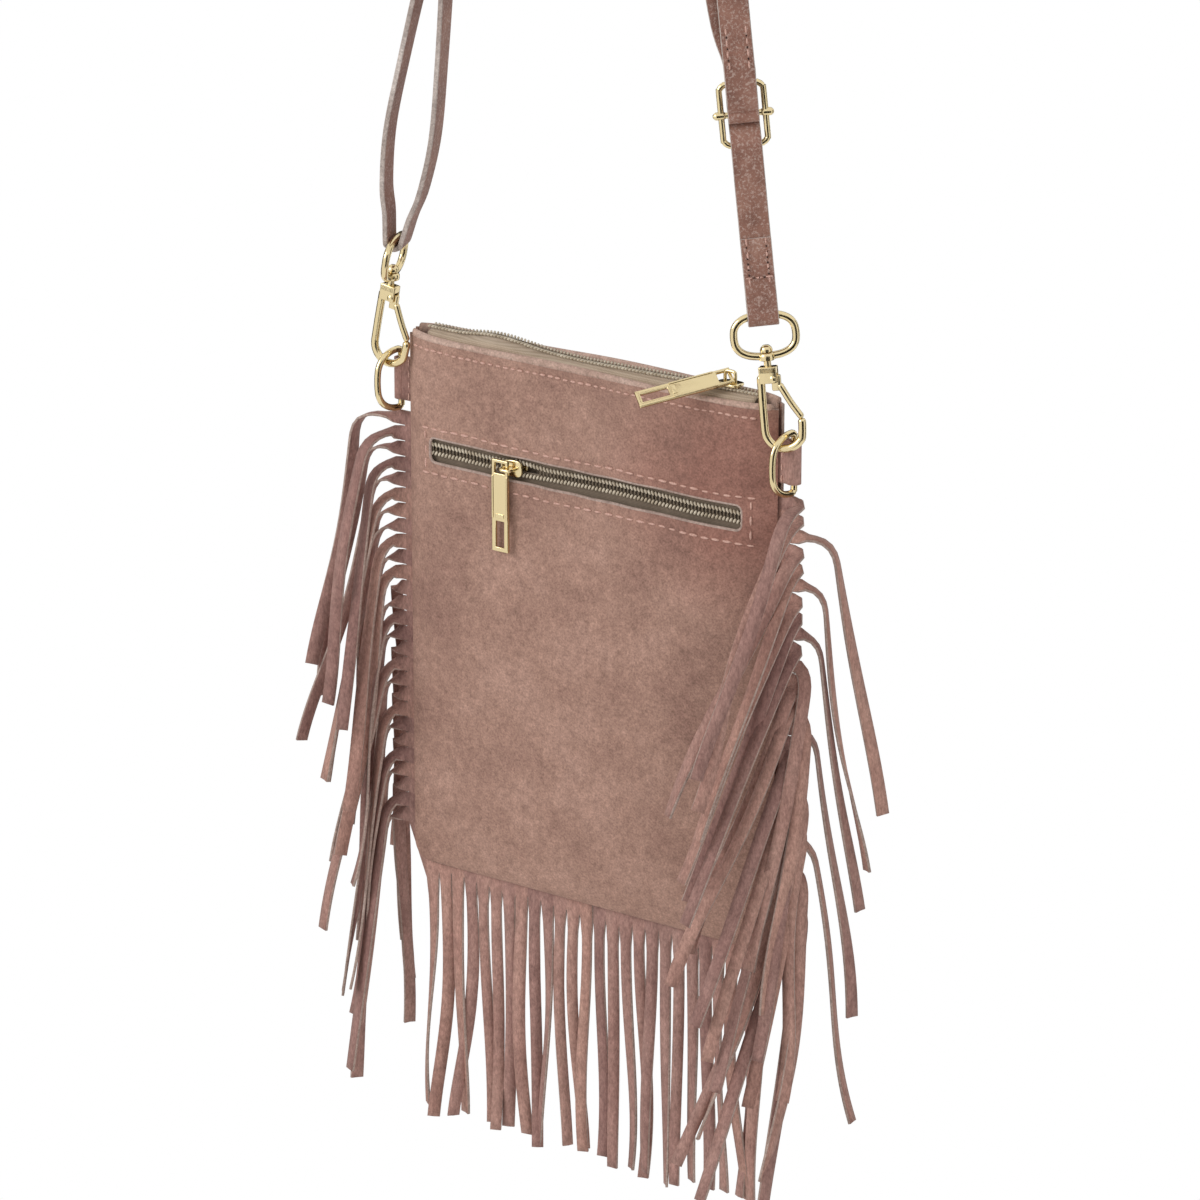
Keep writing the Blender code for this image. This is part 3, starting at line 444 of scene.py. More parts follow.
def dents(x, z):
    """Puckers along the window's stitching and wide soft dents, in metres outwards."""
    above = z - (WINDOW_Z + WINDOW_HEIGHT / 2)
    below = (WINDOW_Z - WINDOW_HEIGHT / 2) - z
    near = math.exp(-((max(above, below, 0.0) / 0.011) ** 2))
    pull = 0.00028 * near * math.sin(x * 210 + 3 * math.sin(x * 37))
    sag = -0.0009 * hump(x, z, (-0.012, WINDOW_Z - 0.030), 0.05, 0.018)
    sag += 0.0008 * hump(x, z, (0.030, WINDOW_Z - 0.055), 0.06, 0.040)
    sag -= 0.0007 * hump(x, z, (0.050, HEM_Z - 0.018), 0.030, 0.012)
    sag += 0.0005 * hump(x, z, (-0.055, HEM_Z - 0.016), 0.035, 0.014)
    sag -= 0.0008 * hump(x, z, (-0.045, BOTTOM_Z + 0.060), 0.030, 0.050)
    inside = 1 - (abs(x) / HALF) ** 8
    return (pull + sag) * inside


def face(name, side, top, columns, rows):
    """A face as a fine grid, closer towards its edges, with its thickness."""
    work = bmesh.new()
    grid = []
    for row in range(rows + 1):
        share = row / rows
        z = BOTTOM_Z + (top - BOTTOM_Z) * (0.5 * share + 0.5 * spread(share))
        line = []
        for column in range(columns + 1):
            x = half_width(z) * (2 * spread(column / columns) - 1)
            out = SEAM_IN + SUEDE / 2 + swell(x, z) + dents(x * -side, z) * (1.0 if side < 0 else 0.6)
            line.append(work.verts.new((x, side * out, z)))
        grid.append(line)
    skin(work, grid)
    made = new_object(name, work, [body_suede, cut_edge], flip=side > 0)
    solid(made, SUEDE, rim=1)
    return made


front_face = face("front_face", -1, HEM_Z, 150, 190)
work = bmesh.new()
window_size = Matrix.Diagonal((2 * WINDOW_HALF, 0.02, WINDOW_HEIGHT, 1))
bmesh.ops.create_cube(work, size=1.0, matrix=Matrix.Translation((0, -0.008, WINDOW_Z)) @ window_size)
upright = [e for e in work.edges if abs(e.verts[0].co.y - e.verts[1].co.y) > 0.01]
bmesh.ops.bevel(work, geom=upright, offset=WINDOW_CORNER, segments=5, affect="EDGES", profile=0.5)
window = new_object("window_cutter", work, [cut_edge])
cut = front_face.modifiers.new("window", "BOOLEAN")
cut.object = window
cut.operation = "DIFFERENCE"
cut.solver = "EXACT"
plain_mesh(front_face)
bpy.data.objects.remove(window)
settle(front_face, "bag", "suede", "front_panel")

back_face = plain_mesh(face("back_face", 1, HEM_Z + BACK_HEM_RISE, 110, 140))
settle(back_face, "bag", "suede", "back_panel")
print("faces", len(front_face.data.polygons), len(back_face.data.polygons))

# %% [markdown]
# ## The cut fringe
# The fringe is a band of suede sewn in the side seams and along the foot, with slits cut up to a narrow
# header. Each strip leaves the header flat, turns on its side, arches out and falls, and no two fall alike.
# Hair curves or cloth would do it too, but a strip that is walked in small steps keeps its real length
# and width. It follows the part's own strips, because it repeats their rule and their random draws in
# finer steps. A second draw adds the lean, curl and twist that leather keeps, and each strip's tone,
# whose darker values are painted shade.

# %% Fringe strips
STRIP_PITCH = 0.0066
STRIP_WIDTH = 0.0060
STRIP_LENGTH = 0.109
SIDE_STRIP_LENGTH = 0.130
HEADER = 0.0045
SEAM_ALLOWANCE = 0.0085
SIDE_FRINGE_DROP = 0.034
REACH = (0.0095, 0.021)  # how far a side strip goes out before it falls: most of them, and the top one
REACH_FADE = 4.0  # strips over which the top one's reach dies away
ARCH = 0.022
TURN_OUT = 0.010
TWIST_OVER = 0.010
SWAY = 0.21
CUP = 0.00045
# A lane's degrees: way out, way it leans, lean and roll, each way turned from the side towards the front
LANES = {
    -1: {"F": (78, 50, 9.0, 8), "M": (14, 10, 8.5, 34), "B": (-46, -60, 7.0, 8)},
    1: {"F": (78, 130, 20.0, 0), "M": (26, 95, 11.0, 22), "O": (-26, -20, 8.0, 12)},
}
LANE_ORDER = {-1: "MFMFMFMMFMFBMFMBFMBFMBFMBFMBFM", 1: "FFOFFOFFOFMFFMOFMFMFMOFMFMFMOF"}
FRINGE_SEED = {-1: 5, 1: 17}
UP = Vector((0, 0, 1))
FLAT = SEAM_ALLOWANCE + HEADER


def strip_width(beyond, length, narrow):
    """A strip is full width at the header and a little narrower once it hangs free."""
    return STRIP_WIDTH * (1 - narrow * smooth(beyond / 0.012))


def side_strip(side, z, length, lane, reach, roll, own, steps=34):
    """Rows of (left, middle, right) points along one strip of the side fringe."""
    way_out, way_leaned, lean, lane_roll = (math.radians(angle) for angle in lane)
    way_leaned += own.uniform(-0.35, 0.35)
    lean += own.uniform(-0.065, 0.065)
    out = Vector((side, 0, 0))
    heading = Vector((side * math.cos(way_out), -math.sin(way_out), 0))
    leaned = Vector((side * math.cos(way_leaned), -math.sin(way_leaned), 0))
    final = leaned * math.sin(lean) - UP * math.cos(lean)
    waves = [own.uniform(-1, 1) for _ in range(5)]
    narrow = own.uniform(0.04, 0.20)
    free = length - FLAT
    stations = [0.0, FLAT * 0.6, FLAT] + [FLAT + free * ((k + 1) / steps) ** 1.15 for k in range(steps)]
    centre = Vector((side * (HALF - SEAM_ALLOWANCE), 0, z))
    reached = 0.0
    rows = []
    for station in stations:
        level = out
        direction = out
        while reached < station - 1e-9:
            step = min(0.0015, station - reached)
            beyond = reached + step / 2 - FLAT
            level = out.lerp(heading, smooth(beyond / TURN_OUT)).normalized()
            fall = smooth((beyond - reach + ARCH / 2) / ARCH)
            direction = (level * (1 - fall) + final * fall).normalized()
            t = max(0.0, beyond / free)
            sway = level * waves[0] + Vector((-level.y, level.x, 0)) * waves[1]
            direction = (direction + sway * SWAY * t * math.cos(3.0 + waves[2] + 5.0 * t)).normalized()
            centre = centre + direction * step
            reached += step
        beyond = max(0.0, station - FLAT)
        t = beyond / free
        twist = smooth(beyond / TWIST_OVER)
        across = Vector((-level.y, level.x, 0)) * side
        width = UP * (1 - twist) + across * twist
        width = (width - direction * width.dot(direction)).normalized()
        turn = (lane_roll + roll) * smooth(2 * t) + 0.9 * waves[3] * smooth(t)
        turn += 0.6 * waves[4] * math.sin(4.5 * t) * t
        width = width * math.cos(turn) + direction.cross(width) * math.sin(turn)
        normal = direction.cross(width).normalized()
        half = width * strip_width(beyond, length, narrow) / 2
        cup = normal * (CUP * waves[4] * smooth(t * 3))
        rows.append((centre + half, centre + cup, centre - half))
    return rows


def foot_height(x):
    """Height of the bag's foot, which rises at the rounded corners."""
    beyond = max(0.0, abs(x) - (HALF - CORNER_RADIUS))
    return BOTTOM_Z + CORNER_RADIUS - math.sqrt(max(0.0, CORNER_RADIUS**2 - beyond**2))


def foot_strip(root, length, rng, own, steps=26):
    """Rows of points along one strip of the foot fringe, after the part's own three draws."""
    lean = rng.uniform(-0.0014, 0.0014)
    bow = rng.uniform(-0.005, 0.003)
    turn = rng.uniform(-0.35, 0.35)
    waves = [own.uniform(-1, 1) for _ in range(5)]
    narrow = own.uniform(0.10, 0.26)
    slit = HEADER * own.uniform(-0.25, 0.9)
    flat = FLAT + slit
    rows = []
    for station in [0.0, flat * 0.6, flat] + [flat + (length - flat) * (k + 1) / steps for k in range(steps)]:
        beyond = max(0.0, station - flat)
        t = beyond / (length - flat)
        side_sway = 0.0062 * waves[0] * t * math.sin(2.0 + 3.2 * t + waves[1])
        depth = bow * math.sin(t * 2.2) * t + 0.0040 * waves[2] * t * math.sin(4 * t)
        centre = root + Vector((lean * t * t + side_sway, depth, -station))
        angle = (turn * 1.6 + 0.5 * waves[3]) * smooth(t * 1.3) + 0.45 * waves[4] * math.sin(3.2 * t)
        width = Vector((math.cos(angle), math.sin(angle), 0))
        half = width * STRIP_WIDTH * (1 - narrow * smooth(beyond / 0.010)) / 2
        cup = Vector((-width.y, width.x, 0)) * 0.0004 * waves[1] * smooth(t * 3)
        rows.append((centre - half, centre + cup, centre + half))
    return rows


def fringe(name, side):
    """One half of the fringe: the side strips from the top down, then the foot strips to the middle."""
    rng = random.Random(FRINGE_SEED[side])
    own = random.Random(FRINGE_SEED[side] + 100)
    count = int((BAG_HEIGHT - SIDE_FRINGE_DROP - CORNER_RADIUS) / STRIP_PITCH)
    half_count = int((HALF - STRIP_WIDTH / 2) / STRIP_PITCH)
    strips = []
    for index in range(count):
        lane = LANES[side][LANE_ORDER[side][index]]
        reach = REACH[0] + (REACH[1] - REACH[0]) * math.exp(-index / REACH_FADE)
        z = HEM_Z - SIDE_FRINGE_DROP - STRIP_PITCH * (index + 0.5)
        length = SIDE_STRIP_LENGTH * rng.uniform(0.95, 1.03) + FLAT
        roll = rng.uniform(-0.03, 0.03)
        strips.append(side_strip(side, z, length, lane, reach, roll, own))
    for index in range(half_count):
        x = side * STRIP_PITCH * (half_count - index - 0.5)
        root = Vector((x, 0, foot_height(x) + SEAM_ALLOWANCE))
        length = STRIP_LENGTH * rng.uniform(0.97, 1.02) + FLAT
        rows = foot_strip(root, length, rng, own)
        strips.append(rows if side < 0 else [row[::-1] for row in rows])
    work = bmesh.new()
    tone = work.verts.layers.float.new("strip_tone_and_shade")
    before = None
    for rows in strips:
        points = [[work.verts.new(point) for point in row] for row in rows]
        # A random tone for each strip; its darker values are painted shade
        own_tone_and_shade = own.uniform(-1, 1)
        for point in (point for row in points for point in row):
            point[tone] = own_tone_and_shade
        skin(work, points)
        if before is not None:
            for k in range(2):
                work.faces.new((before[k], points[k][0], points[k + 1][0], before[k + 1]))
        before = [points[k][2] for k in range(3)]
    made = new_object(name, work, [fringe_suede, cut_edge])
    solid(made, SUEDE * 0.9, rim=1)
    return plain_mesh(made)


for label, side in (("left", -1), ("right", 1)):
    made = fringe(f"{label}_cut_fringe", side)
    settle(made, "bag", "suede", f"{label}_fringe")
    print(made.name, len(made.data.polygons), "faces")

# %% [markdown]
# ## Stitches
# The bag and the strap are sewn with a thick pinkish thread whose stitches stand up one by one. A row
# could be drawn as a texture, but real stitches catch the light. A Geometry Nodes tree sets one small round
# stitch at each step of a path, with a little seeded wander, as a machine on soft leather leaves them.

# %% Stitch rows by Geometry Nodes
# Waxed polyester thread, a little shiny, its ply drawn as fine tones 0.5 mm wide
thread_pink, tree, shader = new_material("waxed_polyester_thread", Base_Color=linear("D3A898"), Roughness=0.62)
place = node(tree, "ShaderNodeTexCoord").outputs["Object"]
ply = node(tree, "ShaderNodeTexNoise", Vector=place, Scale=2200.0, Detail=2.0)
ply_shade = ramp(tree, ply.outputs["Fac"], [(0.3, linear("B88A7A")), (0.7, linear("E0B9AB"))])
tree.links.new(ply_shade, shader.inputs["Base Color"])


def sockets(tree, inputs, output):
    """Name a tree's inputs and its output."""
    for name, kind, value in inputs:
        made = tree.interface.new_socket(name, in_out="INPUT", socket_type=kind)
        if value is not None:
            made.default_value = value
    tree.interface.new_socket(output, in_out="OUTPUT", socket_type="NodeSocketGeometry")
    return node(tree, "NodeGroupInput"), node(tree, "NodeGroupOutput")


def finished_tree(tree, placed, material, made_out):
    """End a tree: the copies made real, smooth and given their material."""
    real = node(tree, "GeometryNodeRealizeInstances", Geometry=placed)
    soft = node(tree, "GeometryNodeSetShadeSmooth", Geometry=real.outputs[0])
    dyed = node(tree, "GeometryNodeSetMaterial", Geometry=soft.outputs[0], Material=material)
    tree.links.new(dyed.outputs[0], made_out.inputs[0])


stitching = bpy.data.node_groups.new("stitch_row", "GeometryNodeTree")
given, made_out = sockets(
    stitching,
    (
        ("Path", "NodeSocketGeometry", None),
        ("Pitch", "NodeSocketFloat", 0.0045),
        ("Stitch Length", "NodeSocketFloat", 0.0028),
        ("Thread", "NodeSocketFloat", 0.0004),
        ("Wander", "NodeSocketFloat", 0.00015),
        ("Thread Material", "NodeSocketMaterial", None),
    ),
    "Stitches",
)
row = node(stitching, "GeometryNodeMeshToCurve", Mesh=given.outputs["Path"])
steps = node(
    stitching, "GeometryNodeCurveToPoints", {"mode": "LENGTH"}, Curve=row.outputs[0], Length=given.outputs["Pitch"]
)
turned = node(stitching, "FunctionNodeAlignRotationToVector", {"axis": "Z"}, Vector=steps.outputs["Tangent"])
less = node(stitching, "ShaderNodeMath", {"operation": "MULTIPLY"}, _0=given.outputs["Wander"], _1=-1.0)
wander = node(stitching, "FunctionNodeRandomValue", {"data_type": "FLOAT_VECTOR"}, Seed=7)
stitching.links.new(less.outputs[0], wander.inputs[0])
stitching.links.new(given.outputs["Wander"], wander.inputs[1])
moved = node(stitching, "GeometryNodeSetPosition", Geometry=steps.outputs["Points"], Offset=wander.outputs[0])
ball = node(stitching, "GeometryNodeMeshUVSphere", Segments=8, Rings=6, Radius=1.0)
half_length = node(stitching, "ShaderNodeMath", {"operation": "MULTIPLY"}, _0=given.outputs["Stitch Length"], _1=0.5)
size = node(
    stitching,
    "ShaderNodeCombineXYZ",
    X=given.outputs["Thread"],
    Y=given.outputs["Thread"],
    Z=half_length.outputs[0],
)
stitch = node(stitching, "GeometryNodeTransform", Geometry=ball.outputs["Mesh"], Scale=size.outputs[0])
shares = node(stitching, "FunctionNodeRandomValue", {"data_type": "FLOAT"}, Seed=3)
shares.inputs[2].default_value = 0.82
shares.inputs[3].default_value = 1.12
placed = node(
    stitching,
    "GeometryNodeInstanceOnPoints",
    Points=moved.outputs[0],
    Instance=stitch.outputs[0],
    Rotation=turned.outputs[0],
    Scale=shares.outputs[1],
)
finished_tree(stitching, placed.outputs[0], given.outputs["Thread Material"], made_out)


def grown(name, paths, group, settings):
    """A piece that a node tree grows along the paths, as a plain mesh."""
    data = bpy.data.meshes.new(name)
    points = [tuple(point) for path in paths for point in path]
    edges = []
    start = 0
    for path in paths:
        edges += [(start + k, start + k + 1) for k in range(len(path) - 1)]
        start += len(path)
    data.from_pydata(points, edges, [])
    made = linked(name, data)
    grow = made.modifiers.new("grow", "NODES")
    grow.node_group = group
    for item in group.interface.items_tree:
        if item.name in settings:
            grow[item.identifier] = settings[item.name]
    return plain_mesh(made)


def stitched(name, paths, slot, pitch, length, thread):
    sizes = {"Pitch": pitch, "Stitch Length": length, "Thread": thread, "Thread Material": thread_pink}
    made = grown(name, paths, stitching, sizes)
    settle(made, "bag", slot)
    print(name, len(made.data.polygons), "faces")


# %% [markdown]
# ## The strap
# The strap is one length of split leather pressed to a firm band, with its cut edges left pale. It loops
# through the left eye, runs up to the crown, comes down through the wire buckle and round the right eye.
# It is swept directly along the part's own route, since a band this stiff doesn't drape, with a finer
# section: flat faces and eased edges.

# %% Strap leather
# Split leather pressed under heat: smoother and darker than the nap, with fine pale cracks
strap_leather, tree, shader = new_material(
    "pressed_strap_leather", Roughness=0.66, Sheen_Weight=0.12, Sheen_Roughness=0.5
)
place = node(tree, "ShaderNodeTexCoord").outputs["Object"]
patches = node(tree, "ShaderNodeTexNoise", Vector=place, Scale=70.0, Detail=5.0, Roughness=0.65)
hide = [(0.30, linear("7A5244")), (0.52, linear("926656")), (0.70, linear("A47A69"))]
base = ramp(tree, patches.outputs["Fac"], hide)
# Pale flecks where the pressed grain has cracked and rubbed, about half a millimetre long
flecks = node(tree, "ShaderNodeTexNoise", Vector=place, Scale=1250.0, Detail=3.0, Roughness=0.7, Distortion=0.8)
where = node(tree, "ShaderNodeTexNoise", Vector=place, Scale=900.0, Detail=2.0)
both = node(tree, "ShaderNodeMath", {"operation": "MULTIPLY"}, _0=flecks.outputs["Fac"], _1=where.outputs["Fac"])
shown = node(tree, "ShaderNodeMapRange", Value=both.outputs[0], From_Min=0.25, From_Max=0.36, To_Min=0.0, To_Max=0.5)
worn = node(tree, "ShaderNodeMix", {"data_type": "RGBA"}, _0=shown.outputs[0], _6=base, _7=linear("D2BBB0"))
tree.links.new(worn.outputs[2], shader.inputs["Base Color"])
grain = node(tree, "ShaderNodeTexNoise", Vector=place, Scale=1300.0, Detail=3.0)
grain = grain.outputs["Fac"]
raised = node(tree, "ShaderNodeMath", {"operation": "MULTIPLY_ADD"}, _0=shown.outputs[0], _1=-0.6, _2=grain)
bump = node(tree, "ShaderNodeBump", Height=raised.outputs[0], Strength=0.4, Distance=0.0002)
tree.links.new(bump.outputs["Normal"], shader.inputs["Normal"])
strap_edge = suede("cut_strap_edge", ("9A8B83", "BDB0A8", "D8CEC7"))
# The shadow in a needle's hole
needle_dark, tree, shader = new_material("needle_hole_shadow", Base_Color=linear("3A2620"), Roughness=1.0)
print("strap:", strap_leather.name, strap_edge.name)

# %% [markdown]
# ## Where the strap runs
# The strap's line goes from the right eye to the crown and down to the left eye. The strap itself is a list
# of distances along that line and heights off it: it folds round the eyes and the buckle's bar, and its
# layers lie on each other in between. The same list is in the part, so both straps lie in one place.

# %% Strap route
FOOT_Z = HEM_Z - RING_DROP + RING_HALF - RING_WIRE - 4 * GAP - 2 * 0.0016
FOOT = {-1: Vector((-HALF - 0.0125, -0.0066, FOOT_Z)), 1: Vector((HALF + 0.0034, -0.0078, FOOT_Z - 0.0013))}
HOOK_ANGLE = {-1: math.radians(4), 1: math.radians(22)}
EYE_ANGLE = {-1: math.radians(110), 1: math.radians(37)}
EYE_Z = 0.0464
EYE_HALF = (0.0120, 0.0081)
EYE_WIRE = 0.0015
EYE_FLATNESS = 2.6
STRAP_WIDTH = 0.012
STRAP_THICK = 0.0020
CROWN_RADIUS = 0.045
LINE_RADIUS = CROWN_RADIUS + STRAP_THICK + GAP / 2
SEWN_END = 0.030
BUCKLE_CLIMB = 0.078
BUCKLE_SIZE = (0.0170, 0.0235)
BUCKLE_WIRE = 0.0012
LOOP_SPREAD = 0.0095
INNER_SLIP = 0.0048
LOOP_START = 0.150


def touch_angle(side):
    """The angle at which the straight strap of one side meets the crown's curve."""
    foot = FOOT[side]
    across, down = abs(foot.x), foot.z + CROWN_RADIUS
    return math.atan2(down, across) + math.acos(LINE_RADIUS / math.hypot(across, down))


def touch(side):
    angle = touch_angle(side)
    z = LINE_RADIUS * math.sin(angle) - CROWN_RADIUS
    return Vector((side * LINE_RADIUS * math.cos(angle), FOOT[side].y * z / FOOT[side].z, z))


def limb(side):
    return (touch(side) - FOOT[side]).normalized()


STARTS = {side: FOOT[side] + limb(side) * (EYE_Z + EYE_HALF[1]) for side in (-1, 1)}
FIRST = (touch(1) - STARTS[1]).length
SWEEP = math.pi - touch_angle(1) - touch_angle(-1)
MIDDLE = LINE_RADIUS * SWEEP
LAST = (touch(-1) - STARTS[-1]).length
TOTAL = FIRST + MIDDLE + LAST


def strap_at(distance):
    """Place, direction, width and normal of the strap's line."""
    if distance <= FIRST:
        along = limb(1)
        place = STARTS[1] + along * distance
    elif distance >= FIRST + MIDDLE:
        along = -limb(-1)
        place = touch(-1) + along * (distance - FIRST - MIDDLE)
    else:
        share = (distance - FIRST) / MIDDLE
        angle = touch_angle(1) + SWEEP * share
        y = touch(1).y * (1 - share) + touch(-1).y * share
        place = Vector((LINE_RADIUS * math.cos(angle), y, LINE_RADIUS * math.sin(angle) - CROWN_RADIUS))
        along = Vector((-math.sin(angle), 0, math.cos(angle)))
    turned = EYE_ANGLE[1] + (math.pi / 2 - EYE_ANGLE[1]) * smooth((distance - 0.11) / (FIRST - 0.11))
    turned += (EYE_ANGLE[-1] - math.pi / 2) * smooth((distance - FIRST - MIDDLE) / (LAST * 0.8))
    width = Vector((math.cos(turned), math.sin(turned), 0))
    width = (width - along * width.dot(along)).normalized()
    return place, along, width, width.cross(along)


def strap_route():
    """The part's own pairs of distance and height off the line, and a sideways slip of the hanging layer."""
    edge = (STRAP_WIDTH / 2 / EYE_HALF[0]) ** EYE_FLATNESS
    eye_drop = EYE_HALF[1] * (1 - (1 - edge) ** (1 / EYE_FLATNESS))
    wrap = EYE_WIRE + GAP + eye_drop + STRAP_THICK / 2
    layer = STRAP_THICK / 2 + GAP / 2
    route = [(SEWN_END, layer), (SEWN_END / 2, layer + 0.0003), (0.0055, wrap * 0.86)]
    for angle in (20, 0, -30, -60, -90, -120, -150, 180, 160):
        route.append((wrap * math.sin(math.radians(angle)), wrap * math.cos(math.radians(angle))))
    route += [(0.0055, -wrap * 0.86), (SEWN_END / 2, -layer - 0.0003), (SEWN_END, -layer), (0.045, -0.0004)]
    centre = BUCKLE_CLIMB
    bar = BUCKLE_WIRE + GAP + STRAP_THICK / 2
    step = BUCKLE_SIZE[1] / 2
    behind = bar + STRAP_THICK + 0.0004
    route += [(centre - step - 0.007, 0.0014), (centre - step, bar), (centre - step / 2, -0.0012)]
    route += [(centre - 0.003, -behind * 0.92), (centre, -behind), (centre + 0.003, -behind * 0.92)]
    route += [(centre + step / 2, -0.0012), (centre + step, bar), (centre + step + 0.008, bar * 0.7)]
    far = centre + 0.060
    plain = [far + (FIRST - far) * k / 5 for k in range(6)]
    plain += [FIRST + MIDDLE * k / 14 for k in range(1, 15)]
    plain += [FIRST + MIDDLE + (TOTAL - LOOP_START - FIRST - MIDDLE) * k / 3 for k in range(1, 4)]
    inner = [(centre + 0.034, 0.0)] + [(distance, -layer) for distance in plain]
    parted = ((0.110, 0.0050), (0.075, 0.0078), (0.045, LOOP_SPREAD), (0.022, 0.0078), (0.010, 0.0050))
    inner += [(TOTAL - back, -off) for back, off in parted]
    slip = {}
    for distance, _ in inner:
        slid = smooth((distance - centre - 0.016) / 0.03) * (1 - smooth((distance - far) / 0.16))
        slip[len(route) + len(slip)] = -INNER_SLIP * slid
    route += inner
    for angle in (-75, -45, -20, 0, 20, 45, 75):
        route.append((TOTAL + wrap * math.cos(math.radians(angle)), wrap * math.sin(math.radians(angle))))
    route += [(TOTAL - back, off) for back, off in reversed(parted)]
    route += [(distance, layer) for distance in reversed(plain)]
    lift = STRAP_THICK + 0.0004
    top = bar + 2 * lift
    route += [(centre + 0.034, 2 * lift), (centre + step + 0.006, top), (centre + step / 2, bar + lift * 1.2)]
    for angle in (35, 0, -30, -60, -90, -120, -150, 180, 145):
        route.append((centre + bar * math.sin(math.radians(angle)), bar * math.cos(math.radians(angle))))
    route += [(centre + step / 2, -0.0012 + lift * 1.05), (centre + step, bar + lift), (centre + 0.030, lift)]
    return [(distance, height, slip.get(index, 0.0)) for index, (distance, height) in enumerate(route)]


def eased(points, per, cyclic=False):
    """A finer line through the same points, without corners."""
    count = len(points)
    found = []
    for index in range(count if cyclic else count - 1):
        if cyclic:
            four = [points[(index + k) % count] for k in (-1, 0, 1, 2)]
        else:
            four = [points[min(max(index + k, 0), count - 1)] for k in (-1, 0, 1, 2)]
        for k in range(per):
            t = k / per
            found.append(
                tuple(
                    0.5 * (2 * b + (c - a) * t + (2 * a - 5 * b + 4 * c - d) * t * t + (3 * b - a - 3 * c + d) * t**3)
                    for a, b, c, d in zip(*four)
                )
            )
    if not cyclic:
        found.append(tuple(points[-1]))
    return found


# %% [markdown]
# ## The strap's band
# A strap is cut with a strap cutter and its edges are just eased. Its section, a flat bar with eased corners,
# is set at each point of the finer route and the sections are joined. The faces of its edges and ends
# take the paler cut leather.

# %% Strap band
STRAP_EASE = 0.0003
half_w = STRAP_WIDTH / 2
half_t = STRAP_THICK / 2
across = [-half_w + STRAP_EASE, -half_w * 0.5, 0, half_w * 0.5, half_w - STRAP_EASE]
section = [(x, -half_t) for x in across] + [(half_w, -half_t + STRAP_EASE), (half_w, half_t - STRAP_EASE)]
section += [(-x, half_t) for x in across] + [(-half_w, half_t - STRAP_EASE), (-half_w, -half_t + STRAP_EASE)]
line = []
for distance, height, slipped in eased(strap_route(), 7):
    place, along, width, normal = strap_at(distance)
    line.append((place + normal * height + width * slipped, width))
work = bmesh.new()
rings = []
for index, (place, width) in enumerate(line):
    direction = (line[min(index + 1, len(line) - 1)][0] - line[max(index - 1, 0)][0]).normalized()
    up = width.cross(direction).normalized()
    rings.append([work.verts.new(place + width * a + up * b) for a, b in section])
for index, made in enumerate(skin(work, rings, closed=True)):
    made.material_index = 1 if index % len(section) in (4, 5, 6, 11, 12, 13) else 0
for end in (rings[0][::-1], rings[-1]):
    work.faces.new(end).material_index = 1
bmesh.ops.recalc_face_normals(work, faces=work.faces)
band = new_object("leather_strap", work, [strap_leather, strap_edge])
band.data.set_sharp_from_angle(angle=math.radians(35))
settle(band, "bag", "strap_leather", "strap")
print("strap", len(rings), "rings,", round(TOTAL, 3), "m from eye to eye")

# %% [markdown]
# ## The strap's sewing
# Each folded end is sewn down with two rows and a cross row. The needle leaves a dark hole at each stitch's
# end, so the stitch tree runs twice on the same paths: once for the thread, once for the holes.

# %% Strap stitches
STITCH_IN = 0.0038


def strap_row(start, end, height, edge, steps=24):
    """A path on a face of the strap, from one distance along its line to another."""
    found = []
    for k in range(steps + 1):
        distance = start + (end - start) * k / steps
        place, along, width, normal = strap_at(distance)
        found.append(place + normal * height(distance) + width * edge)
    return found


layer = STRAP_THICK + GAP / 2 + 0.0006
rows = []
for edge in (-STITCH_IN, STITCH_IN):
    rows.append(strap_row(0.014, 0.029, lambda d: layer, edge))
    rows.append(strap_row(0.014, 0.029, lambda d: -layer, edge))
place, along, width, normal = strap_at(0.015)
rows.append([place + normal * (layer + 0.0003) + width * x for x in (-0.004, 0.004)])
lift = STRAP_THICK + 0.0004
bar = BUCKLE_WIRE + GAP + STRAP_THICK / 2
turn_up = BUCKLE_CLIMB + BUCKLE_SIZE[1] / 2 + 0.006
for edge in (-STITCH_IN, STITCH_IN):
    rows.append(strap_row(turn_up + 0.002, BUCKLE_CLIMB + 0.033, lambda d: bar + 2 * lift + half_t + 0.0001, edge))
stitched("strap_stitches", rows, "strap_leather", pitch=0.0040, length=0.0027, thread=0.00040)
holes = grown(
    "strap_needle_holes", rows, stitching,
    {"Pitch": 0.0020, "Stitch Length": 0.0009, "Thread": 0.00034, "Wander": 0.0, "Thread Material": needle_dark},
)
settle(holes, "bag", "strap_leather")

# %% [markdown]
# ## Hooks, eyes, rings and buckle
# This hardware is bent from round wire and die-cast, then plated. Each wire is a round section walked along
# its bend, with domed ends, as a wire bender makes it. The cast necks are small blocks with rolled edges, and
# turned parts such as the collar and the peened knob are profiles spun round their axis.

# %% Metal shapes


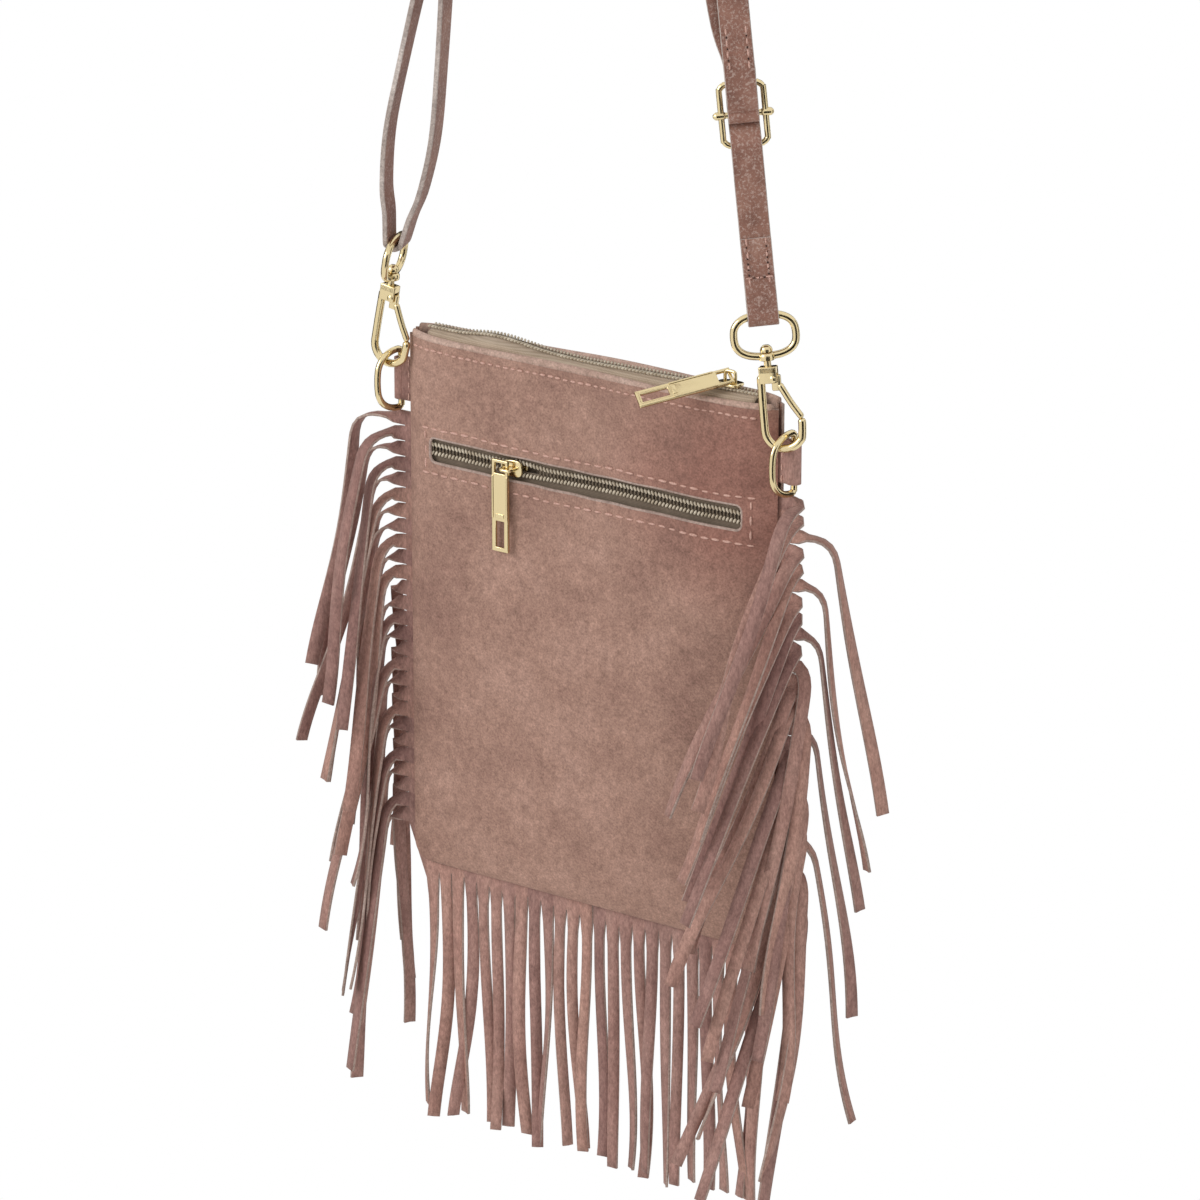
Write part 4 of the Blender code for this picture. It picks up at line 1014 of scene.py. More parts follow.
def tube(work, points, radius, sides=14, closed=False):
    """Sweep a round section along points, turning as little as it can; an open one has domed ends."""
    points = [Vector(point) for point in points]
    count = len(points)
    rings = []
    side = None
    for index, point in enumerate(points):
        before = points[(index - 1) % count] if closed else points[max(index - 1, 0)]
        after = points[(index + 1) % count] if closed else points[min(index + 1, count - 1)]
        along = (after - before).normalized()
        if side is None:
            side = along.orthogonal().normalized()
        side = (side - along * side.dot(along)).normalized()
        other = along.cross(side)
        ring = [
            point + (side * math.cos(turn) + other * math.sin(turn)) * radius
            for turn in (2 * math.pi * k / sides for k in range(sides))
        ]
        rings.append((ring, along, side, other))
    loops = []
    if closed:
        drift = math.atan2(rings[-1][2].dot(rings[0][3]), rings[-1][2].dot(rings[0][2]))
        for index, (ring, along, side, other) in enumerate(rings):
            turns = (2 * math.pi * k / sides - drift * index / count for k in range(sides))
            loops.append([points[index] + (side * math.cos(t) + other * math.sin(t)) * radius for t in turns])
    else:
        for share in (0.15, 0.5, 0.8):
            scale = math.sqrt(1 - (1 - share) ** 2)
            ring, along, side, other = rings[0]
            loops.append([points[0] + (p - points[0]) * scale - along * radius * (1 - share) for p in ring])
        loops += [ring for ring, along, side, other in rings]
        for share in (0.8, 0.5, 0.15):
            scale = math.sqrt(1 - (1 - share) ** 2)
            ring, along, side, other = rings[-1]
            loops.append([points[-1] + (p - points[-1]) * scale + along * radius * (1 - share) for p in ring])
    made = [[work.verts.new(p) for p in loop] for loop in loops]
    skin(work, made + made[:1] if closed else made, closed=True)
    if not closed:
        work.faces.new(made[0][::-1])
        work.faces.new(made[-1])


def spun(work, profile, sides=28):
    """Spin a profile of (radius, height) pairs round Z; it starts and ends on the axis."""
    rings = []
    for radius, height in profile:
        if radius == 0:
            rings.append([work.verts.new((0, 0, height))])
        else:
            turns = (2 * math.pi * k / sides for k in range(sides))
            rings.append([work.verts.new((radius * math.cos(t), radius * math.sin(t), height)) for t in turns])
    for low_ring, high_ring in zip(rings, rings[1:]):
        for k in range(sides):
            after = (k + 1) % sides
            if len(low_ring) == 1:
                work.faces.new((low_ring[0], high_ring[after], high_ring[k]))
            elif len(high_ring) == 1:
                work.faces.new((low_ring[k], low_ring[after], high_ring[0]))
            else:
                work.faces.new((low_ring[k], low_ring[after], high_ring[after], high_ring[k]))


def block(work, size, centre, ease):
    """A cast block with rolled edges."""
    made = bmesh.ops.create_cube(work, size=1.0, matrix=Matrix.Translation(centre) @ Matrix.Diagonal((*size, 1)))
    edges = list({edge for vertex in made["verts"] for edge in vertex.link_edges})
    bmesh.ops.bevel(work, geom=edges, offset=ease, segments=3, affect="EDGES", profile=0.5)


def cast(name, work, place, body, *nodes):
    """Finish a metal piece, put it in its place and settle it."""
    bmesh.ops.recalc_face_normals(work, faces=work.faces)
    bmesh.ops.transform(work, matrix=place, verts=work.verts)
    made = new_object(name, work, [gold])
    made.data.set_sharp_from_angle(angle=math.radians(50))
    settle(made, body, "gold_metal", *nodes)


print("wire, spun and cast shapes ready")

# %% [markdown]
# ## Swivel hooks
# A hook is a wire bent to a bow and cast into a neck that turns on the eye's collar. A short gate, hinged on a
# peened pin in the neck, is pressed against the bow's tip by a spring, which is hidden inside the neck.
# The hook, gate, pin and eye are separate pieces, because the gate opens and the hook turns.

# %% Hooks and eyes
HOOK_WIRE = 0.0016
GATE_WIRE = 0.0013
NECK = (0.0070, 0.0044, 0.0066)
NECK_Z = 0.031
GATE_HINGE = (0.0020, 0.0294)
TONGUE = 0.0020


def turned_frame(side, angle):
    """The place of a hook or an eye, whose Z runs up the strap's straight line."""
    along = limb(side)
    across = Vector((math.cos(angle), math.sin(angle), 0))
    across = (across - along * across.dot(along)).normalized()
    turn = Matrix((across, along.cross(across), along)).transposed().to_4x4()
    return Matrix.Translation(FOOT[side]) @ turn


def arc(centre, radius, start, end, steps):
    """Points of an arc in X and Z, between two angles in degrees."""
    turns = (math.radians(start + (end - start) * k / steps) for k in range(steps + 1))
    return [(centre[0] + radius * math.cos(t), 0.0, centre[1] + radius * math.sin(t)) for t in turns]


def round_power(value):
    """Turns a circle's sine or cosine to the eye's flattened oval."""
    return math.copysign(abs(value) ** (2 / EYE_FLATNESS), value)


for label, side in (("left", -1), ("right", 1)):
    place = turned_frame(side, HOOK_ANGLE[side])
    hook_line = [(-0.0032, 0, 0.0295), (-0.0035, 0, 0.0180), (-0.0036, 0, 0.0096)]
    hook_line += arc((0.0040, 0.0092), 0.0076, 180, 335, 12) + [(0.0114, 0, 0.0108), (0.0114, 0, 0.0119)]
    work = bmesh.new()
    tube(work, eased(hook_line, 3), HOOK_WIRE)
    cheek = (NECK[1] - TONGUE) / 2 - GAP
    for front in (-1, 1):
        block(work, (NECK[0], cheek, NECK[2]), (0, front * (NECK[1] - cheek) / 2, NECK_Z), 0.0004)
    block(work, (NECK[0], NECK[1], 0.0030), (0, 0, NECK_Z + NECK[2] / 2 - 0.0015), 0.0006)
    eye_foot = EYE_Z - EYE_HALF[1] + EYE_WIRE
    spun(work, [(0, NECK_Z), (0.0014, NECK_Z), (0.0014, eye_foot + GAP), (0.0024, eye_foot + GAP),
                (0.0025, eye_foot + 0.0009), (0.0021, eye_foot + 0.0020), (0.0012, eye_foot + 0.0028),
                (0, eye_foot + 0.0030)])
    cast(f"{label}_bent_hook", work, place, f"{label}_hook_body", f"{label}_hook")

    hinge = place @ Matrix.Translation((GATE_HINGE[0], 0, GATE_HINGE[1]))
    gate_line = [(0.0110, 0, 0.0128 + HOOK_WIRE), (0.0078, 0, 0.0195), (0.0043, 0, 0.0262)]
    gate_line = [(x - GATE_HINGE[0], y, z - GATE_HINGE[1]) for x, y, z in gate_line]
    work = bmesh.new()
    tube(work, eased(gate_line, 4), GATE_WIRE)
    block(work, (0.0036, TONGUE, 0.0062), (0.0008, 0, -0.0017), 0.0005)
    cast(f"{label}_sprung_gate", work, hinge, f"{label}_gate_body", f"{label}_gate")

    work = bmesh.new()
    half = NECK[1] / 2
    spun(work, [(0, -half - 0.0006), (0.0008, -half - 0.0005), (0.0013, -half - 0.0001), (0.0007, -half + 0.0001),
                (0.0007, half - 0.0001), (0.0013, half + 0.0001), (0.0008, half + 0.0005), (0, half + 0.0006)])
    pin = hinge @ Matrix.Rotation(math.pi / 2, 4, "X")
    cast(f"{label}_peened_rivet", work, pin, f"{label}_hook_body", f"{label}_gate_rivet")

    place = turned_frame(side, EYE_ANGLE[side])
    oval = []
    for step in range(28):
        angle = 2 * math.pi * step / 28
        wide, high = round_power(math.cos(angle)), round_power(math.sin(angle))
        oval.append((EYE_HALF[0] * wide, 0, EYE_Z + EYE_HALF[1] * high))
    work = bmesh.new()
    tube(work, eased(oval, 3, cyclic=True), EYE_WIRE, closed=True)
    low = eye_foot - 0.0032
    spun(work, [(0, low), (0.0026, low), (0.0031, low + 0.0003), (0.0032, low + 0.0010), (0.0031, low + 0.0022),
                (0.0026, eye_foot - 0.0002), (0.0019, eye_foot), (0, eye_foot)])
    cast(f"{label}_wire_eye", work, place, "bag", f"{label}_eye")
print("hooks, gates, rivets and eyes replaced")

# %% [markdown]
# ## D-rings and buckle
# A D-ring is a wire bent round a form and welded in its straight bar. The buckle is a wire frame with a
# loose bar across it, whose ends are peened to knobs, and the strap passes over the bar twice.

# %% D-rings and buckle
RING_ANGLE = {-1: math.radians(258), 1: math.radians(262)}
RING_PLAY = 0.00005
RING_BAR = HALF + 0.0105 - 0.0040
for label, side in (("left", -1), ("right", 1)):
    half, depth, corner = RING_HALF, 0.0125, 0.0018
    points = [(0, 0, -half + corner), (0, 0, 0), (0, 0, half - corner)]
    points += arc((corner, half - corner), corner, 150, 90, 2)
    for step in range(1, 14):
        angle = math.pi / 2 - math.pi * step / 14
        points.append((
            corner + (depth - corner) * math.cos(angle), 0,
            half * math.copysign(abs(math.sin(angle)) ** 0.7, math.sin(angle)),
        ))
    points += arc((corner, -half + corner), corner, 270, 210, 2)
    place = Matrix.Translation((side * RING_BAR, 0, HEM_Z - RING_DROP)) @ Matrix.Rotation(RING_ANGLE[side], 4, "Z")
    work = bmesh.new()
    tube(work, eased(points, 3, cyclic=True), RING_WIRE - RING_PLAY, closed=True)
    cast(f"{label}_welded_d_ring", work, place, f"{label}_ring", f"{label}_d_ring")

place, along, width, normal = strap_at(BUCKLE_CLIMB)
place = Matrix.Translation(place) @ Matrix((width, -normal, along)).transposed().to_4x4()
bw, bh, corner = BUCKLE_SIZE[0] / 2, BUCKLE_SIZE[1] / 2, 0.003
outline = []
for cx, cz, start in ((1, 1, 0), (-1, 1, 90), (-1, -1, 180), (1, -1, 270)):
    outline += arc((cx * (bw - corner), cz * (bh - corner)), corner, start, start + 90, 5)
work = bmesh.new()
tube(work, eased(outline, 2, cyclic=True), BUCKLE_WIRE, closed=True)
tube(work, [(-bw - 0.0022, 0, 0), (0, 0, 0), (bw + 0.0022, 0, 0)], BUCKLE_WIRE)
for end in (-1, 1):
    tube(work, [(end * (bw - 0.0006), 0, 0), (end * (bw + 0.0016), 0, 0)], BUCKLE_WIRE * 1.35)
cast("wire_buckle", work, place, "bag", "buckle")
print("rings and buckle replaced")

# %% [markdown]
# ## Zips
# Both zips are nylon coil zips: a monofilament wound to a flat coil and sewn on the edge of a woven tape. From
# the front a coil shows as a row of small slanted loops, with the locked heads in the dark line between the
# two rows. One Geometry Nodes tree sets a loop at each step of a path, leaning it and facing it as it is
# told, and it makes both rows and the heads of both zips.

# %% Zip materials
# Nylon monofilament, a little glossy; the heads between the rows are the same nylon painted darker, as shade in the
# dip between the rows
zip_loops, tree, shader = new_material("nylon_coil_loops", Base_Color=linear("B9AB93"), Roughness=0.38)
place = node(tree, "ShaderNodeTexCoord").outputs["Object"]
loop_tone = node(tree, "ShaderNodeTexNoise", Vector=place, Scale=260.0, Detail=2.0)
loop_tone = ramp(tree, loop_tone.outputs["Fac"], [(0.3, linear("B5A68F")), (0.7, linear("DDD1BC"))])
tree.links.new(loop_tone, shader.inputs["Base Color"])
# A darker copy of the nylon: painted shade on the locked heads
zip_heads_painted_shade, tree, shader = new_material("nylon_coil_heads_painted_shade", Base_Color=linear("6E604F"), Roughness=0.5)


def woven(name, dark, pale, thread):
    """Plain weave: crossing ribs, one for each thread, drawn three times coarser than the real 0.2 mm yarn."""
    made, tree, shader = new_material(name, Roughness=0.9, Sheen_Weight=0.15)
    place = node(tree, "ShaderNodeTexCoord").outputs["Object"]
    turns = 2 * math.pi / thread / 20
    yarn = {"Vector": place, "Scale": turns, "Distortion": 0.6, "Detail": 1.0}
    along, up = (
        node(tree, "ShaderNodeTexWave", {"bands_direction": way}, **yarn).outputs["Fac"] for way in ("X", "Z")
    )
    weave = node(tree, "ShaderNodeMath", {"operation": "MULTIPLY"}, _0=along, _1=up).outputs[0]
    soil = node(tree, "ShaderNodeTexNoise", Vector=place, Scale=120.0, Detail=4.0).outputs["Fac"]
    mixed = node(tree, "ShaderNodeMath", {"operation": "MULTIPLY_ADD"}, _0=soil, _1=0.8, _2=weave)
    colour = ramp(tree, mixed.outputs[0], [(0.2, linear(dark)), (1.0, linear(pale))])
    tree.links.new(colour, shader.inputs["Base Color"])
    bump = node(tree, "ShaderNodeBump", Height=weave, Strength=0.4, Distance=0.00015)
    tree.links.new(bump.outputs["Normal"], shader.inputs["Normal"])
    return made


taupe_tape = woven("woven_polyester_tape", "5F5142", "938270", 0.0006)
beige_tape = woven("woven_beige_facing", "A08B75", "CBB8A2", 0.0007)
beige_lining = woven("plain_cotton_lining", "8F7C68", "B5A38E", 0.0008)
print("zip and cloth materials ready")

# %% [markdown]
# ## The zip's coil as a node tree
# A coil's loop is a small ball stretched across the row, slanted as the winding leans. The tree turns each one
# to the path and to the side that it faces, so one tree serves the standing and the lying zip.

# %% Zip coil by Geometry Nodes
coiling = bpy.data.node_groups.new("zip_coil", "GeometryNodeTree")
given, made_out = sockets(
    coiling,
    (
        ("Path", "NodeSocketGeometry", None),
        ("Pitch", "NodeSocketFloat", 0.0017),
        ("Loop Length", "NodeSocketFloat", 0.0022),
        ("Loop Width", "NodeSocketFloat", 0.0011),
        ("Loop Height", "NodeSocketFloat", 0.0013),
        ("Slant", "NodeSocketFloat", 0.4),
        ("Facing", "NodeSocketVector", (0.0, -1.0, 0.0)),
        ("Coil Material", "NodeSocketMaterial", None),
    ),
    "Coil",
)
row = node(coiling, "GeometryNodeMeshToCurve", Mesh=given.outputs["Path"])
steps = node(
    coiling, "GeometryNodeCurveToPoints", {"mode": "LENGTH"}, Curve=row.outputs[0], Length=given.outputs["Pitch"]
)
along = node(coiling, "FunctionNodeAlignRotationToVector", {"axis": "X"}, Vector=steps.outputs["Tangent"])
faced = node(
    coiling,
    "FunctionNodeAlignRotationToVector",
    {"axis": "Z", "pivot_axis": "X"},
    Rotation=along.outputs[0],
    Vector=given.outputs["Facing"],
)
ball = node(coiling, "GeometryNodeMeshUVSphere", Segments=8, Rings=6, Radius=0.5)
size = node(
    coiling,
    "ShaderNodeCombineXYZ",
    X=given.outputs["Loop Width"],
    Y=given.outputs["Loop Length"],
    Z=given.outputs["Loop Height"],
)
lean = node(coiling, "ShaderNodeCombineXYZ", Z=given.outputs["Slant"])
shaped = node(coiling, "GeometryNodeTransform", Geometry=ball.outputs["Mesh"], Scale=size.outputs[0])
leaned = node(coiling, "GeometryNodeTransform", Geometry=shaped.outputs[0], Rotation=lean.outputs[0])
placed = node(
    coiling,
    "GeometryNodeInstanceOnPoints",
    Points=steps.outputs["Points"],
    Instance=leaned.outputs[0],
    Rotation=faced.outputs[0],
)
finished_tree(coiling, placed.outputs[0], given.outputs["Coil Material"], made_out)
print("coil tree ready")

# %% [markdown]
# ## The pocket's zip
# It stands behind the window: two tapes with a coil on each inner edge, and the heads locked on both sides of
# the slider. The chain waves a little between the places where the slider stops, and it parts just past it.

# %% Pocket zip
ROW_WIDTH = 0.0022
ROW_THICK = 0.0014
ROW_GAP = 0.0014
TAPE_THICK = 0.0005
TAPE_WIDTH = 0.0105
POCKET_TAPE_Y = -0.0052
POCKET_SLIDER_X = 0.0417 - WINDOW_HALF
ROW_MIDDLE = ROW_GAP / 2 + ROW_WIDTH / 2
CHAIN_END = 0.0006
LOOP_LENGTH = 0.0024
SLANT = 0.5
HEADS = {"Loop Length": LOOP_LENGTH, "Loop Width": 0.0008, "Loop Height": 0.0010, "Slant": 0.0}


def path(start, end, place, step=0.0015):
    """Points of a path from one x to another."""
    count = max(2, int(abs(end - start) / step))
    return [place(start + (end - start) * k / count) for k in range(count + 1)]


def pocket_wander(x):
    """How far the chain waves up and down; it is straight where the slider stops."""
    still = 1.0
    for stop in (POCKET_SLIDER_X, -0.070, 0.070):
        still *= smooth(abs(x - stop) / 0.02)
    return 0.0005 * math.sin(x * 62 + 0.6) * still


def parting(x):
    """How far the rows stand apart just past the slider, where it has spread them."""
    beyond = x - POCKET_SLIDER_X
    return 0.0009 * (1 - smooth(beyond / 0.020)) if beyond > 0 else 0.0


def on_chain(x, proud, off):
    """A point of the pocket's chain: how proud of its tape in row thicknesses, and how far off its middle."""
    return Vector((x, POCKET_TAPE_Y - ROW_THICK * proud, WINDOW_Z + pocket_wander(x) + off))


def sheet(name, place, columns, rows, material, slot, node_name, thick=TAPE_THICK):
    """A cloth piece over a grid of shares, with its thickness."""
    work = bmesh.new()
    grid = [[work.verts.new(place(c / columns, r / rows)) for c in range(columns + 1)] for r in range(rows + 1)]
    skin(work, grid)
    made = new_object(name, work, [material])
    solid(made, thick)
    plain_mesh(made)
    settle(made, "bag", slot, node_name)


for label, sign in (("upper", 1), ("lower", -1)):
    row_line = path(
        -WINDOW_HALF + CHAIN_END,
        WINDOW_HALF - CHAIN_END,
        lambda x: on_chain(x, 0.45, sign * (ROW_MIDDLE + parting(x))),
    )
    loops = {"Loop Length": LOOP_LENGTH, "Slant": SLANT * sign, "Coil Material": zip_loops}
    coil = grown(f"pocket_{label}_coil", [row_line], coiling, loops)
    settle(coil, "bag", "zip_coil", f"pocket_zip_{label}_coil")

    def tape_at(share, down, sign=sign):
        x = (WINDOW_HALF + 0.002) * (2 * share - 1)
        inner = ROW_GAP / 2 + parting(x) * 0.9
        z = WINDOW_Z + pocket_wander(x) * (1 - down) + sign * (inner + (TAPE_WIDTH - parting(x)) * down)
        ripple = 0.00018 * math.sin(x * 150 + sign) * down
        return Vector((x, POCKET_TAPE_Y + GAP + TAPE_THICK / 2 + ripple, z))

    sheet(f"pocket_{label}_tape", tape_at, 90, 6, taupe_tape, "zip_tape", f"pocket_zip_{label}_tape")
heads = []
for start, end in (
    (-WINDOW_HALF + CHAIN_END, POCKET_SLIDER_X), (POCKET_SLIDER_X + 0.013, WINDOW_HALF - CHAIN_END)
):
    heads.append(path(start, end, lambda x: on_chain(x, 0.25, 0.0)))
locked = grown("pocket_coil_heads", heads, coiling, {**HEADS, "Coil Material": zip_heads_painted_shade})
settle(locked, "bag", "zip_coil")
print("pocket zip", len(coil.data.polygons), "faces a row")

# %% [markdown]
# ## The top zip
# It lies flat between the hems on its beige facing, which bends down inside the faces. The soft edge lifts and
# sways it, so it is drawn along a wave, and the facing follows the same wave.

# %% Top zip
ZIP_HALF = HALF - 0.010
TOP_SLIDER_X = ZIP_HALF - 0.014
HEM_FOLD = SUEDE + 0.0001
TAPE_DOWN = 0.0070
FLAT_UP = (0.0, 0.0, 1.0)


def top_wander(x):
    """How far the chain's wave moves it forward and up; it is straight where the slider stops."""
    still = smooth(abs(x - TOP_SLIDER_X) / 0.03) * smooth(abs(x + 0.070) / 0.018)
    rise = 0.0014 * math.exp(-(((x + 0.046) / 0.016) ** 2)) - 0.0009 * math.exp(-(((x + 0.010) / 0.026) ** 2))
    return 0.0011 * math.sin(x * 47 + 0.8) * still, rise * still


def top_at(x, out, lift):
    """A place on the top chain: out is the way from its middle line, lift the height over its tape."""
    forward, rise = top_wander(x)
    return Vector((x, -forward - out, ZIP_Z + rise + lift))


for label, sign in (("front", 1), ("back", -1)):
    row_line = path(-ZIP_HALF, ZIP_HALF, lambda x: top_at(x, sign * ROW_MIDDLE, ROW_THICK * 0.45))
    loops = {"Loop Length": LOOP_LENGTH, "Slant": -SLANT * sign, "Facing": FLAT_UP, "Coil Material": zip_loops}
    coil = grown(f"top_{label}_coil", [row_line], coiling, loops)
    settle(coil, "bag", "zip_coil", f"top_zip_{label}_coil")

    def tape_at(share, down, sign=sign):
        x = ZIP_HALF * (2 * share - 1)
        forward, rise = top_wander(x)
        turn = SEAM_IN - GAP - TAPE_THICK / 2 + swell(x, HEM_Z - 0.0035) - HEM_FOLD
        level = ZIP_Z - GAP - TAPE_THICK / 2 + rise
        start = ROW_GAP / 2 + sign * forward
        if down < 0.6:
            t = down / 0.6
            out = start + (turn - start) * t
            z = level - 0.0012 * t * t + 0.0004 * math.sin(x * 90) * t * (1 - t)
        else:
            t = (down - 0.6) / 0.4
            out = turn
            z = level - 0.0012 - (level - 0.0012 - HEM_Z + TAPE_DOWN) * t
        return Vector((x, -sign * out, z))

    sheet(f"top_{label}_tape", tape_at, 90, 14, beige_tape, "zip_tape", f"top_zip_{label}_tape")
heads = [path(-ZIP_HALF, TOP_SLIDER_X, lambda x: top_at(x, 0, ROW_THICK * 0.25))]
locked = grown("top_coil_heads", heads, coiling, {**HEADS, "Facing": FLAT_UP, "Coil Material": zip_heads_painted_shade})
settle(locked, "bag", "zip_coil")
print("top zip", len(coil.data.polygons), "faces a row")

# %% [markdown]
# ## Sliders and pullers
# A slider is two die-cast plates joined by a post, wide where the rows come in apart and narrow where they
# leave locked, with a bridge over it that the puller turns under. The puller is a flat bar with a small eye
# and a long slot. Both are drawn as outlines with a wall and rolled edges.

# %% Sliders and pullers
SLIDER_PLATE = 0.0011
TUNNEL = 0.0036  # height under the bridge
BRIDGE_WIRE = 0.0007


def plate(work, outline, low_y, high_y, ease=0.00025):
    """A flat cast plate from an outline in X and Z, with rolled edges."""
    front = [work.verts.new((x, low_y, z)) for x, z in outline]
    back = [work.verts.new((x, high_y, z)) for x, z in outline]
    work.faces.new(front)
    work.faces.new(back[::-1])
    for k in range(len(outline)):
        after = (k + 1) % len(outline)
        work.faces.new((front[after], front[k], back[k], back[after]))
    rim = [e for v in front + back for e in v.link_edges if abs(e.verts[0].co.y - e.verts[1].co.y) < 1e-7]
    bmesh.ops.bevel(work, geom=list(set(rim)), offset=ease, segments=2, affect="EDGES", profile=0.5)


def slider(name, place, body, node_name, narrow_end):
    """narrow_end is -1 where the closed chain leaves towards -X and 1 where it leaves towards +X."""
    front = ROW_THICK + GAP
    back = TAPE_THICK + 2 * GAP
    shield = []
    for k in range(24):
        turn = 2 * math.pi * k / 24
        x = math.copysign(abs(math.cos(turn)) ** 0.55, math.cos(turn)) * 0.00525
        wide = 0.0037 - 0.0007 * smooth((narrow_end * x / 0.00525 + 1) / 2)
        shield.append((x, math.copysign(abs(math.sin(turn)) ** 0.6, math.sin(turn)) * wide))
    work = bmesh.new()
    plate(work, shield, -front - SLIDER_PLATE, -front, 0.0003)
    plate(work, shield, back, back + SLIDER_PLATE, 0.0003)
    post = (0.0037, back + front + 0.001, ROW_GAP - 2 * GAP)
    block(work, post, (-narrow_end * 0.0021, (back - front) / 2, 0), 0.0001)
    lift = -front - SLIDER_PLATE
    rise = TUNNEL + BRIDGE_WIRE
    bridge = [(-0.0024, lift + 0.0005, 0), (-0.0024, lift - rise * 0.75, 0), (-0.0017, lift - rise, 0),
              (0.0017, lift - rise, 0), (0.0024, lift - rise * 0.75, 0), (0.0024, lift + 0.0005, 0)]
    tube(work, eased(bridge, 4), BRIDGE_WIRE, sides=10)
    return cast(name, work, place, body, node_name)


def puller(name, place, body, node_name, by_side):
    width, thick, length = 0.0080, 0.0014, 0.0385
    eye_w, eye_h, bar = 0.0054, 0.0044, 0.0013
    middle = -(width - (width - eye_w) / 2) / 2 if by_side else 0.0
    top = eye_h / 2 + bar if by_side else bar / 2
    foot = top - length
    slot_low, slot_high = foot + 0.0018, foot + 0.0018 + 0.0110
    x_cuts = [-width / 2, -eye_w / 2, -0.0021, 0.0021, eye_w / 2, width / 2]
    z_cuts = [top, top - bar, top - bar - eye_h, slot_high, slot_low, foot]
    work = bmesh.new()
    grid = [[work.verts.new((middle + x, -thick / 2, z)) for x in x_cuts] for z in z_cuts]
    for r in range(5):
        for c in range(5):
            if (r == 1 and 1 <= c <= 3) or (r == 3 and c == 2):
                continue
            work.faces.new((grid[r][c], grid[r + 1][c], grid[r + 1][c + 1], grid[r][c + 1]))
    made = bpy.data.objects.new("plate", bpy.data.meshes.new("plate"))
    bmesh.ops.dissolve_limit(work, angle_limit=0.01, verts=work.verts, edges=work.edges)
    work.to_mesh(made.data)
    work.free()
    bpy.context.scene.collection.objects.link(made)
    solid(made, thick, offset=-1.0)
    ease = made.modifiers.new("rolled_edges", "BEVEL")
    ease.width = 0.0003
    ease.segments = 3
    ease.angle_limit = math.radians(60)
    plain_mesh(made)
    work = bmesh.new()
    work.from_mesh(made.data)
    bpy.data.objects.remove(made)
    rib = z_cuts[2] - slot_high - 0.002
    for edge in (-1, 1):
        beside = middle + edge * (width / 2 - 0.0005)
        block(work, (0.0008, 0.0006, rib), (beside, -thick / 2, (z_cuts[2] + slot_high) / 2), 0.0002)
    block(work, (eye_w - 0.0012, 0.0004, 0.0018), (middle, -thick / 2, slot_high + 0.0022), 0.00015)
    return cast(name, work, place, body, node_name)


slide = Matrix.Translation((POCKET_SLIDER_X, POCKET_TAPE_Y, WINDOW_Z))
bar_height = ROW_THICK + GAP + SLIDER_PLATE + TUNNEL - (math.hypot(0.0013, 0.0014) / 2 + GAP / 2)
slider("pocket_cast_slider", slide, "pocket_slider", "pocket_zip_slider", -1)
pin = slide @ Matrix.Translation((0, -bar_height, 0))
puller("pocket_cast_puller", pin, "pocket_puller", "pocket_zip_puller", True)
flat = Matrix.Translation((TOP_SLIDER_X, 0, ZIP_Z)) @ Matrix.Rotation(-math.pi / 2, 4, "X")
slider("top_cast_slider", flat, "top_slider", "top_zip_slider", -1)
heading = Vector((-0.62, -0.72, -0.19)).normalized()
across = heading.cross(UP).normalized()
turn = Matrix((across, -across.cross(heading), -heading)).transposed().to_4x4()
rolled = turn @ Matrix.Rotation(math.radians(-30), 4, "Z")  # it lies over on one edge, as its play lets it
pin = Matrix.Translation(flat @ Vector((0, -bar_height, 0)))
puller("top_cast_puller", pin @ rolled, "top_puller", "top_zip_puller", False)
print("sliders and pullers replaced")

# %% [markdown]
# ## Turned hems, sewing and tabs
# The top edge of each face is folded in over the zip's facing and sewn down, so it ends in a soft round fold
# that rubs pale. The pocket's window is held by a frame of longer stitches. Each D-ring hangs in a loop of
# the same suede, folded round its bar and caught in the side seam. The fold and the loops are swept bands,
# and the stitches come from the stitch tree.

# %% Hems and stitch rows
rubbed_fold = suede("rubbed_hem_fold", ("A8897B", "C2A495", "D2B8AA"))
HEM_STITCH_DROP = 0.0042
FOLD_RADIUS = 0.0013


def hem_wave(x):
    """The soft hem rises and sinks a little along its length."""
    return 0.0005 + 0.0004 * math.sin(x * 64 + 1.0) + 0.0003 * math.sin(x * 23)


def face_out(side, x, z):
    """How far the outside of a face is from the seam plane."""
    return SEAM_IN + SUEDE + swell(x, z) + dents(x * -side, z) * (1.0 if side < 0 else 0.6)


def on_face(side, x, z, lift=0.00012):
    """A place on the outside of a face, where thread or an edge lies."""
    return Vector((x, side * (face_out(side, x, z) + lift), z))


for label, side, top in (("front", -1, HEM_Z), ("back", 1, HEM_Z + BACK_HEM_RISE)):
    fold = [(0.0001, -0.0004), (0.0001, 0.0)]
    turns = [math.radians(angle) for angle in range(15, 180, 15)]
    fold += [(-0.0012 + FOLD_RADIUS * math.cos(t), FOLD_RADIUS * math.sin(t)) for t in turns]
    fold += [(-0.0025, 0.0), (-0.0025, -0.0060), (-0.0014, -0.0060), (-0.0013, -0.0004)]
    work = bmesh.new()
    rings = []
    for k in range(161):
        x = (HALF - 0.0022) * (2 * k / 160 - 1)
        out = face_out(side, x, top)
        lift = hem_wave(x * side)
        rings.append([work.verts.new((x, side * (out + a), top + b + (lift if b >= 0 else 0))) for a, b in fold])
    skin(work, rings, closed=True)
    work.faces.new(rings[0][::-1])
    work.faces.new(rings[-1])
    bmesh.ops.recalc_face_normals(work, faces=work.faces)
    made = new_object(f"{label}_turned_hem", work, [rubbed_fold])
    settle(made, "bag", "suede")
    sewn = top - HEM_STITCH_DROP
    seam = path(-HALF + 0.005, HALF - 0.005, lambda x: on_face(side, x, sewn + 0.5 * hem_wave(x * side)))
    stitched(f"{label}_hem_stitches", [seam], "suede", pitch=0.0037, length=0.0027, thread=0.00052)

